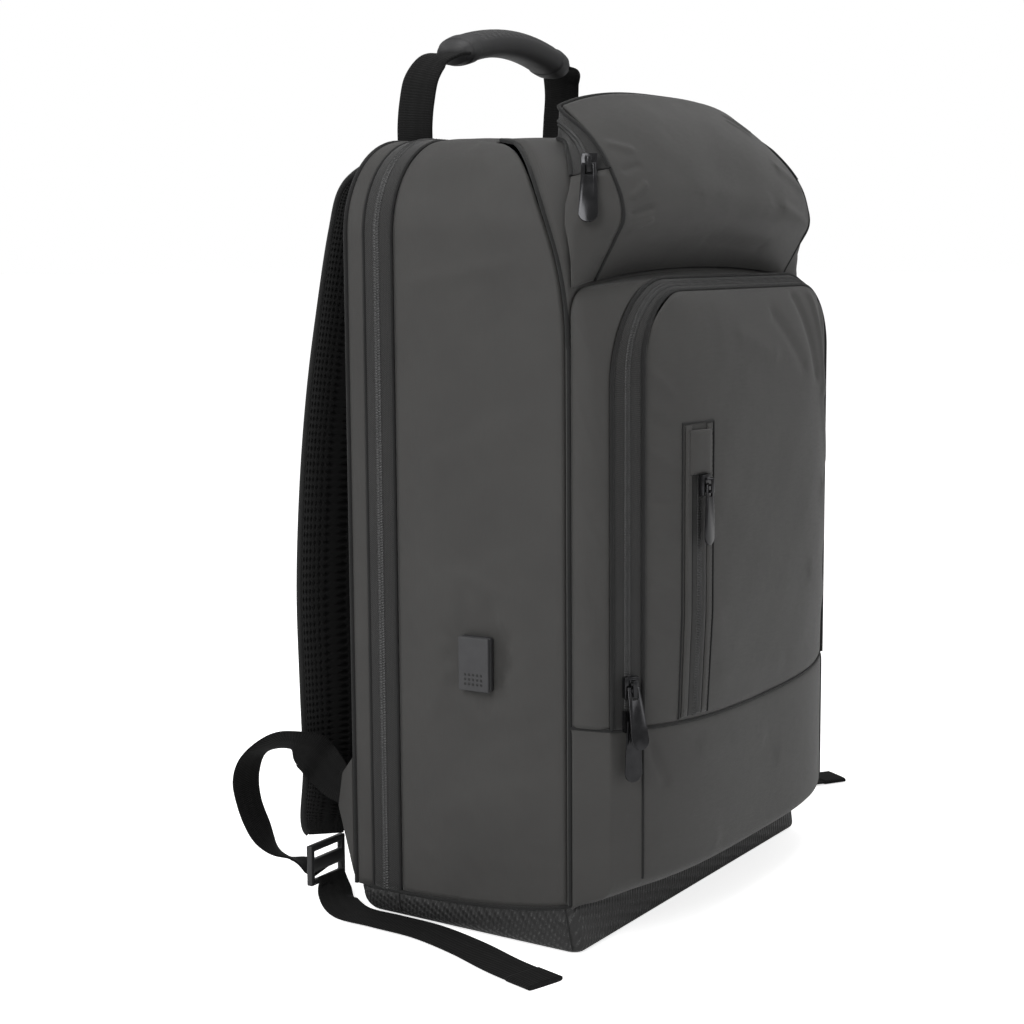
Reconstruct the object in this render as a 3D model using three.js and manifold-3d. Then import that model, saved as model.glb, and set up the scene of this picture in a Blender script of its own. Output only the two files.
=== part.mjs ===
import * as THREE from 'three';
import Module from 'manifold-3d';
import { mergeVertices } from 'three/addons/utils/BufferGeometryUtils.js';

// Laptop backpack standing on its base, in millimetres, Z up, its front towards -Y.

// Body: an upright box of coated cloth with rounded top corners and a sloping front shoulder
const bodyWidth = 298;
const bodyDepth = 150;
const bodyHeight = 457;
const cornerRadius = 55;
const shoulderDepth = 68;
const shoulderHeight = 116;
const clothWall = 2;
const seamGap = 0.6;
const sideBulge = 4;

// Base boot: higher, sharper and flared at the front
const baseHeight = 28;
const baseRearHeight = 17;
const baseSlope = 3.5;
const baseRound = 12;
const baseFrontRound = 5;
const baseCorner = 14;
const baseFrontCorner = 9;
const baseFlare = 6;

// Main zip around the back of the body, with the strip behind it
const zipFront = 42;
const zipRear = 61;
const tapeWall = 1.4;

// Front compartment: flank, zip and face, one inside the other, and the lower front below the seam
const flankReach = 22;
const flankInset = 8;
const faceReach = 32;
const faceInset = 26;
const notchDrop = 86;
const notchHeight = bodyHeight - notchDrop;
const notchRise = 9;
const faceDrop = 1;
const faceTop = notchHeight - faceDrop;
const zipLap = 6;
const zipTop = notchHeight + zipLap;
const flankCorner = 14;
const zipCorner = 60;
const faceCorner = 40;
const faceBulge = 18;
const lowerSeam = 128;
const lowerFoot = 33;
const lowerRound = 12;

// Upright pocket zip in the face
const slitCentre = -83;
const slitWidth = 24;
const slitDrop = 74;
const slitTop = faceTop - slitDrop;
const slitTape = 13;
const slitSliderDrop = 34;
const flapHeight = 23;

// Top box in front of the shoulder
const boxHalf = 123;
const boxTopHalf = 113;
const boxRise = 15;
const boxTop = bodyHeight + boxRise;
const boxCrown = 11;
const boxReach = 18;
const boxSwell = 9;
const boxZipDrop = 25;
const boxZipFoot = bodyHeight - boxZipDrop;

// Back pads
const padHalf = 118;
const padDepth = 22;
const padRim = 4;

// Carrying handle
const handleHalf = 84;
const handleY = 69;
const handleLean = 11.5;
const handleRise = 64;
const handleThick = 2.6;
const gripHalf = 61;
const gripWidth = 27;
const gripThick = 17;
const gripRib = 0.035;
const webWidth = 25;
const webThick = 1.6;
const webRest = 0.5;
const tailFold = 15;

// Shoulder straps, their ladder locks and the open loops of their adjusting webbing
const strapWidth = 50;
const strapThick = 13;
const strapDrop = 12;
const strapStand = 39;
const lockWidth = 34;
const lockHeight = 25;
const lockThick = 4;
const lockInset = 10.5;
const lockStand = 29.5;
const lockZ = 24;
const lockLap = 3.3;
const loopReach = 74;
const loopHeight = 102;

// Cloth wings at the back's lower corners
const wingReach = 11;
const wingTop = 94;
const wingThick = 2.4;

// USB outlet on the left side
const portY = -16.8;
const portZ = 161.7;
const portWidth = 20;
const portHeight = 31;
const portDepth = 4;
const coverThick = 2.4;
const portPlateWidth = 36;
const portPlateHeight = 52;

// Zip sliders and pulls
const sliderWidth = 9;
const sliderLength = 12;
const sliderThick = 3.4;
const pullLength = 34;
const pullWidth = 11;
const pullThick = 1.2;
const pullLift = 0.45;
const moving = 0.35;

const halfBody = bodyWidth / 2;
const frontY = -bodyDepth / 2;
const rearY = bodyDepth / 2;
const { abs, cos, max, min, PI, sin, sqrt } = Math;

const cloth = { color: 0x464543, roughness: 0.62, metalness: 0 };
const dark = { color: 0x2b2b2b, roughness: 0.85, metalness: 0 };
const webbing = { color: 0x161616, roughness: 0.9, metalness: 0 };
const mesh = { color: 0x1b1b1b, roughness: 0.95, metalness: 0 };
const plastic = { color: 0x1d1d1e, roughness: 0.45, metalness: 0 };
const rubber = { color: 0x2a2a2c, roughness: 0.7, metalness: 0 };
const metal = { color: 0x111112, roughness: 0.22, metalness: 0.7 };

const backpack = new THREE.Group();

function place(name, geometry, finish, parent = backpack) {
  const piece = new THREE.Mesh(geometry, new THREE.MeshStandardMaterial(finish));
  piece.name = name;
  parent.add(piece);
  return piece;
}

// Closed geometry from points and triangles, turned so that its faces point out
function closed(points, triangles) {
  let volume = 0;
  const a = new THREE.Vector3();
  const b = new THREE.Vector3();
  const c = new THREE.Vector3();
  for (const [i, j, k] of triangles) {
    a.fromArray(points[i]);
    b.fromArray(points[j]);
    c.fromArray(points[k]);
    volume += a.dot(b.cross(c));
  }
  const index = triangles.flatMap(([i, j, k]) => (volume > 0 ? [i, j, k] : [i, k, j]));
  const geometry = new THREE.BufferGeometry();
  geometry.setAttribute('position', new THREE.Float32BufferAttribute(points.flat(), 3));
  geometry.setIndex(index);
  return geometry;
}

// Solid between an outer and an inner grid of points that share their rows and columns
function between(outer, inner) {
  const rows = outer.length;
  const columns = outer[0].length;
  const points = [...outer.flat(), ...inner.flat()];
  const out = (i, j) => i * columns + j;
  const back = (i, j) => rows * columns + i * columns + j;
  const triangles = [];
  const quad = (p, q, r, s) => triangles.push([p, q, r], [p, r, s]);
  for (let i = 0; i < rows - 1; i += 1) {
    for (let j = 0; j < columns - 1; j += 1) {
      quad(out(i, j), out(i + 1, j), out(i + 1, j + 1), out(i, j + 1));
      quad(back(i, j), back(i, j + 1), back(i + 1, j + 1), back(i + 1, j));
    }
    quad(out(i, 0), back(i, 0), back(i + 1, 0), out(i + 1, 0));
    quad(out(i, columns - 1), out(i + 1, columns - 1), back(i + 1, columns - 1), back(i, columns - 1));
  }
  for (let j = 0; j < columns - 1; j += 1) {
    quad(out(0, j), out(0, j + 1), back(0, j + 1), back(0, j));
    quad(out(rows - 1, j), back(rows - 1, j), back(rows - 1, j + 1), out(rows - 1, j + 1));
  }
  return closed(points, triangles);
}

// The grid moved by a distance along its own normals, towards the inside point
function inward(grid, distance, inside) {
  const rows = grid.length;
  const columns = grid[0].length;
  const centre = new THREE.Vector3(...inside);
  const normals = grid.map((row, i) => row.map((point, j) => {
    const up = new THREE.Vector3(...grid[min(i + 1, rows - 1)][j]);
    up.sub(new THREE.Vector3(...grid[max(i - 1, 0)][j]));
    const along = new THREE.Vector3(...row[min(j + 1, columns - 1)]);
    along.sub(new THREE.Vector3(...row[max(j - 1, 0)]));
    return up.cross(along).normalize();
  }));
  let facing = 0;
  grid.forEach((row, i) => row.forEach((point, j) => {
    facing += normals[i][j].dot(new THREE.Vector3(...point).sub(centre).normalize());
  }));
  const step = facing > 0 ? -distance : distance;
  return grid.map((row, i) => row.map((point, j) => {
    const moved = new THREE.Vector3(...point).addScaledVector(normals[i][j], step);
    return [moved.x, moved.y, moved.z];
  }));
}

// Sheet of one thickness whose outer face runs through the points at(u, v), u and v from 0 to 1
function sheet(rowValues, columnValues, at, wall, inside) {
  const grid = rowValues.map((u) => columnValues.map((v) => at(u, v)));
  return between(grid, inward(grid, wall, inside));
}

function apart(p, q) {
  return Math.hypot(p[0] - q[0], p[1] - q[1], p[2] - q[2]);
}

// Solid through a row of closed rings, its two ends closed over their middles
function loft(rings) {
  const count = rings[0].length;
  const points = rings.flat();
  const triangles = [];
  for (let i = 0; i < rings.length - 1; i += 1) {
    for (let j = 0; j < count; j += 1) {
      const k = (j + 1) % count;
      const low = i * count;
      const high = low + count;
      const rising = apart(rings[i][j], rings[i + 1][k]);
      const falling = apart(rings[i][k], rings[i + 1][j]);
      // The shorter diagonal, so that both faces of a thin twisted strip are split alike
      if (rising <= falling) triangles.push([low + j, low + k, high + k], [low + j, high + k, high + j]);
      else triangles.push([low + j, low + k, high + j], [low + k, high + k, high + j]);
    }
  }
  for (const end of [0, rings.length - 1]) {
    const middle = [0, 1, 2].map((axis) => rings[end].reduce((sum, point) => sum + point[axis], 0) / count);
    const tip = points.push(middle) - 1;
    for (let j = 0; j < count; j += 1) {
      const p = end * count + j;
      const q = end * count + (j + 1) % count;
      triangles.push(end === 0 ? [tip, q, p] : [tip, p, q]);
    }
  }
  return closed(points, triangles);
}

// Strip swept along stations; a station has its place, the way its width lies, and its width and thickness
function swept(stations, section) {
  const rings = stations.map((station, i) => {
    const before = new THREE.Vector3(...stations[max(i - 1, 0)].at);
    const after = new THREE.Vector3(...stations[min(i + 1, stations.length - 1)].at);
    const along = after.sub(before).normalize();
    const across = new THREE.Vector3(...station.across);
    across.addScaledVector(along, -across.dot(along)).normalize();
    const face = new THREE.Vector3().crossVectors(along, across);
    return section.map(([a, b]) => {
      const point = new THREE.Vector3(...station.at);
      point.addScaledVector(across, a * station.width / 2);
      point.addScaledVector(face, b * station.thick / 2);
      return [point.x, point.y, point.z];
    });
  });
  return loft(rings);
}

const flatSection = [[-1, -1], [1, -1], [1, 1], [-1, 1]];
const paddedSection = [[-1, -0.25], [-0.86, -1], [0, -1.06], [0.86, -1], [1, -0.25], [0.86, 0.9], [0, 1], [-0.86, 0.9]];

const wasm = await Module();
wasm.setup();

// Joins and cuts of small hard pieces
function solid(geometry) {
  const bare = geometry.index ? geometry.clone() : mergeVertices(bareOf(geometry));
  const whole = mergeVertices(bareOf(bare));
  return new wasm.Manifold(new wasm.Mesh({
    numProp: 3,
    vertProperties: new Float32Array(whole.attributes.position.array),
    triVerts: new Uint32Array(whole.index.array),
  }));
}

function bareOf(geometry) {
  const bare = geometry.clone();
  bare.deleteAttribute('normal');
  bare.deleteAttribute('uv');
  return bare;
}

function geometryOf(body) {
  const { vertProperties, triVerts } = body.getMesh();
  const geometry = new THREE.BufferGeometry();
  geometry.setAttribute('position', new THREE.BufferAttribute(vertProperties, 3));
  geometry.setIndex(new THREE.BufferAttribute(triVerts, 1));
  return geometry;
}

function block(x0, x1, y0, y1, z0, z1) {
  return new THREE.BoxGeometry(x1 - x0, y1 - y0, z1 - z0).translate((x0 + x1) / 2, (y0 + y1) / 2, (z0 + z1) / 2);
}

// Even steps from a to b
function steps(count, a = 0, b = 1) {
  return Array.from({ length: count + 1 }, (_, i) => a + (b - a) * i / count);
}

// Inverted U seen from the front: stations from its left foot over the top to its right foot
function arch({ half, top, radius, foot, sideSteps = 9, cornerSteps = 7, topSteps = 8 }) {
  const spring = top - radius;
  const left = [];
  for (const share of steps(sideSteps).slice(0, -1)) {
    left.push({ x: -half, z: foot + (spring - foot) * share, nx: -1, nz: 0 });
  }
  for (const angle of steps(cornerSteps, 0, PI / 2)) {
    left.push({
      x: -half + radius - radius * cos(angle), z: spring + radius * sin(angle), nx: -cos(angle), nz: sin(angle),
    });
  }
  const over = steps(topSteps, radius - half, half - radius).slice(1, -1).map((x) => ({ x, z: top, nx: 0, nz: 1 }));
  const right = left.map(({ x, z, nx, nz }) => ({ x: -x, z, nx: -nx, nz })).reverse();
  return [...left, ...over, ...right];
}

// Half width of an inverted U at a height
function halfAt({ half, top, radius }, z) {
  const rise = min(max(z - (top - radius), 0), radius);
  return half - radius + sqrt(max(radius * radius - rise * rise, 0));
}

const bodyArch = { half: halfBody, top: bodyHeight, radius: cornerRadius, foot: baseHeight + seamGap };

// Shoulder: the body's front face leans back towards the top along a quarter of an oval
const shoulderY = frontY + shoulderDepth;
const shoulderZ = bodyHeight - 1 - shoulderHeight;

function frontAt(z, inset, fullness) {
  const rise = min(max((z - shoulderZ) / (shoulderHeight - inset), 0), 1);
  return shoulderY - (shoulderDepth - inset) * (1 - rise ** fullness) ** (1 / fullness);
}

function fullnessAt(u) {
  return 2 + 3.2 * (1 - abs(u) ** 12);
}

// Top edge of the base boot, falling in a curve towards the back
function baseTop(y) {
  return baseRearHeight + (baseHeight - baseRearHeight) * max(0, (rearY - y) / bodyDepth) ** baseSlope;
}

// Feet of the side strips follow the boot's edge
function footed(z, y) {
  const foot = bodyArch.foot;
  const share = min(max((z - foot) / (bodyHeight - foot), 0), 1);
  return z + (baseTop(y) + seamGap - foot) * (1 - share) ** 3;
}

// Folds of a cloth face, each along a line through its middle, as shares of the face and of its bulge
function foldRelief(folds, u, v) {
  let depth = 0;
  for (const { u: mu, v: mv, turn, length, width, depth: amount } of folds) {
    const along = (u - mu) * cos(turn) + (v - mv) * sin(turn);
    const across = (v - mv) * cos(turn) - (u - mu) * sin(turn);
    depth += amount * Math.exp(-((along / length) ** 2) - (across / width) ** 2);
  }
  return depth;
}

function softEdge(share, run) {
  const t = min(1, min(share, 1 - share) / run);
  return t * t * (3 - 2 * t);
}

const sideFolds = [
  { u: 0.60, v: 0.13, turn: 0.5, length: 0.30, width: 0.03, depth: -0.50 },
  { u: 0.40, v: 0.26, turn: 0.6, length: 0.34, width: 0.035, depth: 0.40 },
  { u: 0.55, v: 0.42, turn: -0.3, length: 0.36, width: 0.03, depth: 0.35 },
  { u: 0.50, v: 0.62, turn: 0.4, length: 0.40, width: 0.04, depth: -0.35 },
  { u: 0.42, v: 0.80, turn: 0.2, length: 0.35, width: 0.03, depth: 0.38 },
];

// Flat dimple in the swelling side for the outlet's plate
function nearPort(y, z) {
  const reach = sqrt(((y - portY) / portPlateWidth) ** 2 + ((z - portZ) / portPlateHeight) ** 2);
  const t = min(max((reach - 1) / 0.5, 0), 1);
  return t * t * (3 - 2 * t);
}

// Side and top of the body between its front seam and the main zip
{
  const stations = arch(bodyArch);
  const last = stations.length - 1;
  const at = (u, v) => {
    const station = stations[Math.round(u * last)];
    const edge = frontAt(station.z, clothWall + seamGap, 2) + seamGap;
    const front = max(edge, frontY + clothWall + seamGap);
    const y = front + (zipFront - seamGap - front) * v;
    const z = footed(station.z, y);
    const height = (z - baseHeight) / (bodyHeight - baseHeight);
    const edge0 = softEdge(v, 0.3) * softEdge(min(height, 0.5), 0.12) * abs(station.nx);
    const dimple = station.x < 0 ? nearPort(y, z) : 1;
    const out = edge0 * dimple * sideBulge * (1 + foldRelief(sideFolds, v, height));
    return [station.x + station.nx * out, y, z + station.nz * out];
  };
  place('side_gusset', sheet(steps(last), steps(6), at, clothWall, [0, 0, bodyHeight / 2]), cloth);
}

// Wall between the body and the front pieces, whose top shows as the yoke
const wallRows = [
  ...steps(6, bodyArch.foot, shoulderZ).slice(0, -1).map((z) => ({ z, turn: 0 })),
  ...steps(10, 0, PI / 2).map((turn) => ({ z: shoulderZ, turn })),
];

function wallPoint(u, row) {
  const fullness = fullnessAt(u);
  const z = row.turn > 0 ? shoulderZ + shoulderHeight * sin(row.turn) ** (2 / fullness) : row.z;
  const y = row.turn > 0 ? shoulderY - shoulderDepth * cos(row.turn) ** (2 / fullness) : frontY;
  return [u * halfAt(bodyArch, z), y, z];
}

{
  const columns = [-1, -0.97, -0.9, -0.8, -0.6, -0.35, 0, 0.35, 0.6, 0.8, 0.9, 0.97, 1];
  const grid = wallRows.map((row) => columns.map((u) => wallPoint(u, row)));
  place('yoke_wall', between(grid, inward(grid, clothWall, [0, rearY, 0])), cloth);
}

// Base boot: a tray with a rounded lower edge, its front wall flared towards the floor
{
  // Plan: spots on the body's outline with the way that they look, round each corner and along the sides
  const round = (sx, sy, from) => steps(3, from, from + PI / 2).map((turn) => {
    const radius = sy < 0 ? baseFrontCorner : baseCorner;
    const x = sx * (halfBody - radius) + radius * cos(turn);
    return { x, y: sy * (rearY - radius) + radius * sin(turn), nx: cos(turn), ny: sin(turn) };
  });
  const side = (sx) => steps(6, frontY + baseFrontCorner, rearY - baseCorner).slice(1, -1)
    .map((y) => ({ x: sx * halfBody, y, nx: sx, ny: 0 }));
  const plan = [
    ...round(1, -1, -PI / 2), ...side(1), ...round(1, 1, 0),
    ...round(-1, 1, PI / 2), ...side(-1).reverse(), ...round(-1, -1, PI),
  ];
  // Ring at an inset, at a turn round the lower edge, or along the top edge without one
  const ring = (inset, curl = null) => plan.map(({ x, y, nx, ny }) => {
    const edge = baseFrontRound + (baseRound - baseFrontRound) * (y - frontY) / bodyDepth - inset;
    const drawn = inset + (curl === null ? 0 : edge * (1 - sin(curl)));
    const z = curl === null ? baseTop(y) : inset + edge * (1 - cos(curl));
    const flare = baseFlare * max(0, y / frontY) * (1 - z / baseHeight);
    return [x - drawn * nx, y - drawn * ny - flare, z];
  });
  place('base_boot', loft([
    ...steps(4, 0, PI / 2).map((curl) => ring(0, curl)),
    ring(0),
    ring(clothWall),
    ...steps(2, PI / 2, 0).map((curl) => ring(clothWall, curl)),
  ]), { ...dark, color: 0x1c1c1c });
}

// Strips of the body around the back: the main zip and the cloth strip behind it
function backStrip(name, y0, y1, wall, finish, rise) {
  const stations = arch(bodyArch);
  const last = stations.length - 1;
  const at = (u, v) => {
    const station = stations[Math.round(u * last)];
    const y = y0 + (y1 - y0) * v;
    const out = rise * (1 - (2 * v - 1) ** 2);
    return [station.x + station.nx * out, y, footed(station.z, y) + station.nz * out];
  };
  place(name, sheet(steps(last), steps(2), at, wall, [0, 0, bodyHeight / 2]), finish);
}
backStrip('main_zip', zipFront, zipRear - seamGap, tapeWall, dark, 0.8);
backStrip('rear_strip', zipRear, rearY - clothWall - seamGap, clothWall, cloth, 0.5);

// Back panel and its padded mesh cushions
{
  const rows = [
    ...steps(5, baseRearHeight + seamGap, bodyHeight - cornerRadius).slice(0, -1),
    ...steps(6, 0, PI / 2).map((turn) => bodyHeight - cornerRadius + cornerRadius * sin(turn) * 0.995),
  ];
  const at = (z, u) => [u * halfAt(bodyArch, z), rearY, z];
  place('back_panel', sheet(rows, steps(6, -1, 1), at, clothWall, [0, 0, bodyHeight / 2]), dark);
}

// Foot and top of each cushion as shares of the body's height
const backPads = [
  { name: 'back_pad_top', low: 0.770, high: 0.943 },
  { name: 'back_pad_upper', low: 0.547, high: 0.761 },
  { name: 'back_pad_lower', low: 0.396, high: 0.527 },
  { name: 'back_pad_base', low: 0.173, high: 0.280 },
];

// Cushion standing on a plane, with rounded corners and a crown
function cushion({ x0, x1, z0, z1, y0, depth, rim }) {
  const values = [-1, -0.93, -0.78, -0.5, 0, 0.5, 0.78, 0.93, 1];
  const spot = (u, v) => {
    const pinch = 0.06 * u * u * v * v;
    return [(x0 + x1) / 2 + (x1 - x0) / 2 * u * (1 - pinch), (z0 + z1) / 2 + (z1 - z0) / 2 * v * (1 - pinch)];
  };
  const crown = values.map((v) => values.map((u) => {
    const [x, z] = spot(u, v);
    const height = rim + (depth - rim) * (1 - abs(u) ** 6) ** 0.5 * (1 - v ** 4) ** 0.5;
    return [x, y0 + height, z];
  }));
  const seat = values.map((v) => values.map((u) => {
    const [x, z] = spot(u, v);
    return [x, y0, z];
  }));
  return between(crown, seat);
}

for (const { name, low, high } of backPads) {
  place(name, cushion({
    x0: -padHalf,
    x1: padHalf,
    z0: low * bodyHeight,
    z1: high * bodyHeight,
    y0: rearY + seamGap,
    depth: padDepth,
    rim: padRim,
  }), mesh);
}

// Front compartment: three nested outlines, at the body, at the zip's outer edge and at the face
const rimLap = seamGap + 0.8;
const rimOutline = { half: halfBody, top: notchHeight, radius: flankCorner, y: frontY - rimLap, rise: notchRise };
const zipOutline = { half: halfBody - flankInset, top: zipTop, radius: zipCorner, y: frontY - flankReach, rise: 0 };
const faceOutline = { half: halfBody - faceInset, top: faceTop, radius: faceCorner, y: frontY - faceReach, rise: 0 };

function outlinePoints(outline, foot) {
  return arch({ ...outline, foot, sideSteps: 8, cornerSteps: 7, topSteps: 8 }).map(({ x, z }) => {
    const rise = outline.rise * (1 - (x / outline.half) ** 2) * max(0, (z - foot) / (outline.top - foot)) ** 8;
    return [x, outline.y, z + rise];
  });
}

function mix(p, q, share) {
  return p.map((value, axis) => value + (q[axis] - value) * share);
}

// Ring strip from one outline to the next, swelling by a share between them
function ringStrip(name, from, to, foot, columns, swell, wall, finish) {
  const outer = outlinePoints(from, foot);
  const nested = outlinePoints(to, foot);
  const grid = outer.map((point, i) => columns.map((v) => {
    const spot = mix(point, nested[i], v);
    const bulge = swell * 4 * v * (1 - v);
    const sideways = abs(spot[0]) / (from.half);
    return [spot[0] + Math.sign(spot[0]) * bulge * sideways ** 4, spot[1] - bulge * 0.4, spot[2]];
  }));
  place(name, between(grid, inward(grid, wall, [0, 0, bodyHeight / 2])), finish);
}
ringStrip('front_flank', rimOutline, zipOutline, lowerSeam + seamGap, [0, 0.35, 0.7, 0.965], 2, clothWall, cloth);
ringStrip('front_zip', zipOutline, faceOutline, lowerSeam + seamGap, [0.05, 0.35, 0.65, 0.958], 1, tapeWall, dark);

// Face of the front compartment, crowned, with puckers along its left edge and folds at the right
const faceFolds = [
  { u: 0.10, v: 0.30, turn: 0.5, length: 0.10, width: 0.020, depth: 0.08 },
  { u: 0.10, v: 0.42, turn: 0.6, length: 0.12, width: 0.020, depth: -0.08 },
  { u: 0.11, v: 0.52, turn: 0.5, length: 0.10, width: 0.022, depth: 0.09 },
  { u: 0.10, v: 0.64, turn: 0.6, length: 0.12, width: 0.020, depth: -0.07 },
  { u: 0.86, v: 0.88, turn: 2.0, length: 0.16, width: 0.030, depth: -0.13 },
  { u: 0.74, v: 0.90, turn: 1.9, length: 0.14, width: 0.026, depth: -0.09 },
  { u: 0.92, v: 0.70, turn: 1.7, length: 0.20, width: 0.030, depth: 0.11 },
];

function faceCrown(x, z) {
  const across = 1 - abs(x / faceOutline.half) ** 3.6;
  const share = (z - lowerSeam) / (faceTop - lowerSeam);
  const up = min(1, max(0, (1 - share) / 0.28));
  const down = 0.8 + 0.2 * min(1, max(0, share / 0.25));
  return faceBulge * across * sqrt(1 - (1 - up) ** 2) * down;
}

function faceY(x, z) {
  const u = (x / faceOutline.half + 1) / 2;
  const v = (z - lowerSeam) / (faceTop - lowerSeam);
  const clear = 1 - Math.exp(-(((x - slitCentre) / slitWidth) ** 4));
  const calm = softEdge(u, 0.06) * softEdge(min(v, 1), 0.08) * clear;
  return faceOutline.y - faceCrown(x, z) - calm * faceBulge * foldRelief(faceFolds, u, v);
}

const faceInner = { ...faceOutline, half: faceOutline.half - seamGap, top: faceTop - seamGap };
const faceColumns = [-1, -0.95, -0.86, -0.74, -0.6, -0.48, -0.3, 0, 0.3, 0.55, 0.7, 0.82, 0.9, 0.96, 1];
{
  const spring = faceInner.top - faceInner.radius;
  const rows = [
    ...steps(9, lowerSeam + seamGap, spring).slice(0, -1),
    ...steps(7, 0, PI / 2).map((turn) => spring + faceInner.radius * sin(turn)),
  ];
  const at = (z, u) => {
    const x = u * halfAt(faceInner, z);
    return [x, faceY(x, z), z];
  };
  place('front_face', sheet(rows, faceColumns, at, clothWall, [0, rearY * 4, (faceTop + lowerSeam) / 2]), cloth);
}

// Lower front: one cloth round the foot of the compartment, its lower edge rolled under
{
  const flankSteps = [0, 0.35, 0.7, 1];
  const plan = [
    ...flankSteps.map((v) => mix([-halfBody, frontY - rimLap], [-halfBody + flankInset, zipOutline.y], v)),
    ...[0.5].map((v) => mix([-halfBody + flankInset, zipOutline.y], [-faceOutline.half, faceOutline.y], v)),
  ];
  const faces = faceColumns.map((u) => [u * faceOutline.half, null]);
  const mirrored = plan.map(([x, y]) => [-x, y]).reverse();
  const line = [...plan, ...faces, ...mirrored];
  const rows = [
    { z: lowerFoot - 2, reach: 0.10 }, { z: lowerFoot, reach: 0.62 }, { z: lowerFoot + lowerRound * 0.35, reach: 0.9 },
    { z: lowerFoot + lowerRound, reach: 1 },
    ...steps(4, lowerFoot + 2 * lowerRound, lowerSeam).map((z) => ({ z, reach: 1 })),
  ];
  const grid = rows.map(({ z, reach }) => line.map(([x, y]) => {
    const depth = (y ?? faceY(x, max(z, lowerSeam))) - (frontY - rimLap);
    const drop = y === null ? 0 : (lowerFoot - baseHeight - seamGap) * (1 - abs(depth) / faceReach);
    const low = 1 - min(1, max(0, (z - lowerFoot + 2) / (4 * lowerRound)));
    return [x, frontY - rimLap + depth * reach, z - drop * low];
  }));
  place('lower_front', between(grid, inward(grid, clothWall, [0, rearY * 2, lowerSeam * 1.3])), cloth);
}

// Strips and tape of the slit pocket, lying on the face
function onFace(name, { x0, x1, z0, z1, lift, wall, columns = 2, rows = 10 }, finish) {
  const outer = steps(rows, z0, z1).map((z) => steps(columns, x0, x1).map((x) => [x, faceY(x, z) - lift - wall, z]));
  const inner = outer.map((row) => row.map(([x, y, z]) => [x, y + wall, z]));
  place(name, between(outer, inner), finish);
}
const slitFoot = lowerSeam + 2;
const tapeHalf = slitTape / 2;
const lift = 0.3;
onFace('slit_welt_left', {
  x0: slitCentre - slitWidth / 2, x1: slitCentre - tapeHalf - lift, z0: slitFoot, z1: slitTop, lift, wall: 1,
}, cloth);
onFace('slit_welt_right', {
  x0: slitCentre + tapeHalf + lift, x1: slitCentre + slitWidth / 2, z0: slitFoot, z1: slitTop, lift, wall: 1,
}, cloth);
onFace('slit_tape', {
  x0: slitCentre - tapeHalf, x1: slitCentre + tapeHalf, z0: slitFoot, z1: slitTop - 4, lift, wall: 0.8,
}, dark);
onFace('slit_flap', {
  x0: slitCentre - tapeHalf - 3, x1: slitCentre + tapeHalf + 3, z0: slitTop - 5 - flapHeight, z1: slitTop - 3,
  lift: lift + 1.3, wall: 1.2, columns: 4, rows: 4,
}, cloth);

// Top box: its face from the notch forward, up and back to the zip along its rear edge. Shares of the
// way along it, of the box's reach, of its height over the notch and of its swell
const boxProfile = [
  { share: 0.00, out: 0.00, up: 0.020, swell: 0 },
  { share: 0.12, out: 0.39, up: 0.149, swell: 0.5 },
  { share: 0.22, out: 0.72, up: 0.257, swell: 0.9 },
  { share: 0.34, out: 1.00, up: 0.366, swell: 1 },
  { share: 0.45, out: 0.94, up: 0.475, swell: 1 },
  { share: 0.56, out: 0.72, up: 0.584, swell: 1 },
  { share: 0.68, out: 0.28, up: 0.713, swell: 1 },
  { share: 0.83, out: -0.50, up: 0.861, swell: 0.9 },
  { share: 1.00, out: -1.44, up: 1.000, swell: 0.5 },
];

const boxLap = 2;
const boxMiddle = [0, frontY + shoulderDepth / 2, (notchHeight + boxTop) / 2];

function boxFace(u, station) {
  const calm = 1 - abs(u) ** 3;
  const settle = max(0, 1 - station.share / 0.45);
  const z = notchHeight + station.up * (boxTop - notchHeight);
  const narrow = min(1, max(0, (z - boxZipFoot) / (boxTop - boxZipFoot)));
  const x = u * (boxHalf + (boxTopHalf - boxHalf) * narrow);
  const out = boxReach * station.out + boxSwell * calm * station.swell;
  const rise = settle * notchRise * (1 - (x / halfBody) ** 2);
  return [x, frontY - out - boxLap, z + rise + boxCrown * calm * station.up ** 2];
}

{
  const columns = [-1, -0.94, -0.85, -0.7, -0.5, -0.25, 0, 0.25, 0.5, 0.7, 0.85, 0.94, 1];
  const grid = boxProfile.map((station) => columns.map((u) => boxFace(u, station)));
  place('box_face', between(grid, inward(grid, clothWall, boxMiddle)), cloth);
}

// Band from the box face's edge back to the body: end panels low, the zip along the ends' tops and the rear edge
function wallSpot(u, y) {
  const fullness = fullnessAt(u);
  const share = min(1, max(0, (shoulderY - y) / shoulderDepth));
  const z = shoulderZ + shoulderHeight * (1 - share ** fullness) ** (1 / fullness);
  return [u * halfAt(bodyArch, min(z, bodyHeight - 3)), y, z];
}

// Edge stations from the left notch up; each has a spot on the face's edge and one on the yoke, the
// latter as shares of the body's half width and of the shoulder's height
const edgeStations = [
  { profile: 0.00, wallU: -0.985, back: 0, up: 0.280 },
  { profile: 0.12, wallU: -0.985, back: 0, up: 0.379 },
  { profile: 0.22, wallU: -0.985, back: 0, up: 0.474 },
  { profile: 0.34, wallU: -0.985, back: 0, up: 0.569 },
  { profile: 0.45, wallU: -0.975, back: 0, up: 0.664 },
  { profile: 0.58, wallU: -0.955, back: 0, up: 0.759 },
  { profile: 0.62, wallU: -0.950, back: 0, up: 0.793 },
  { profile: 0.80, wallU: -0.945, back: 0, up: 0.914 },
  { profile: 0.98, wallU: -0.930, back: 1.35, up: 0.978 },
];

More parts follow.
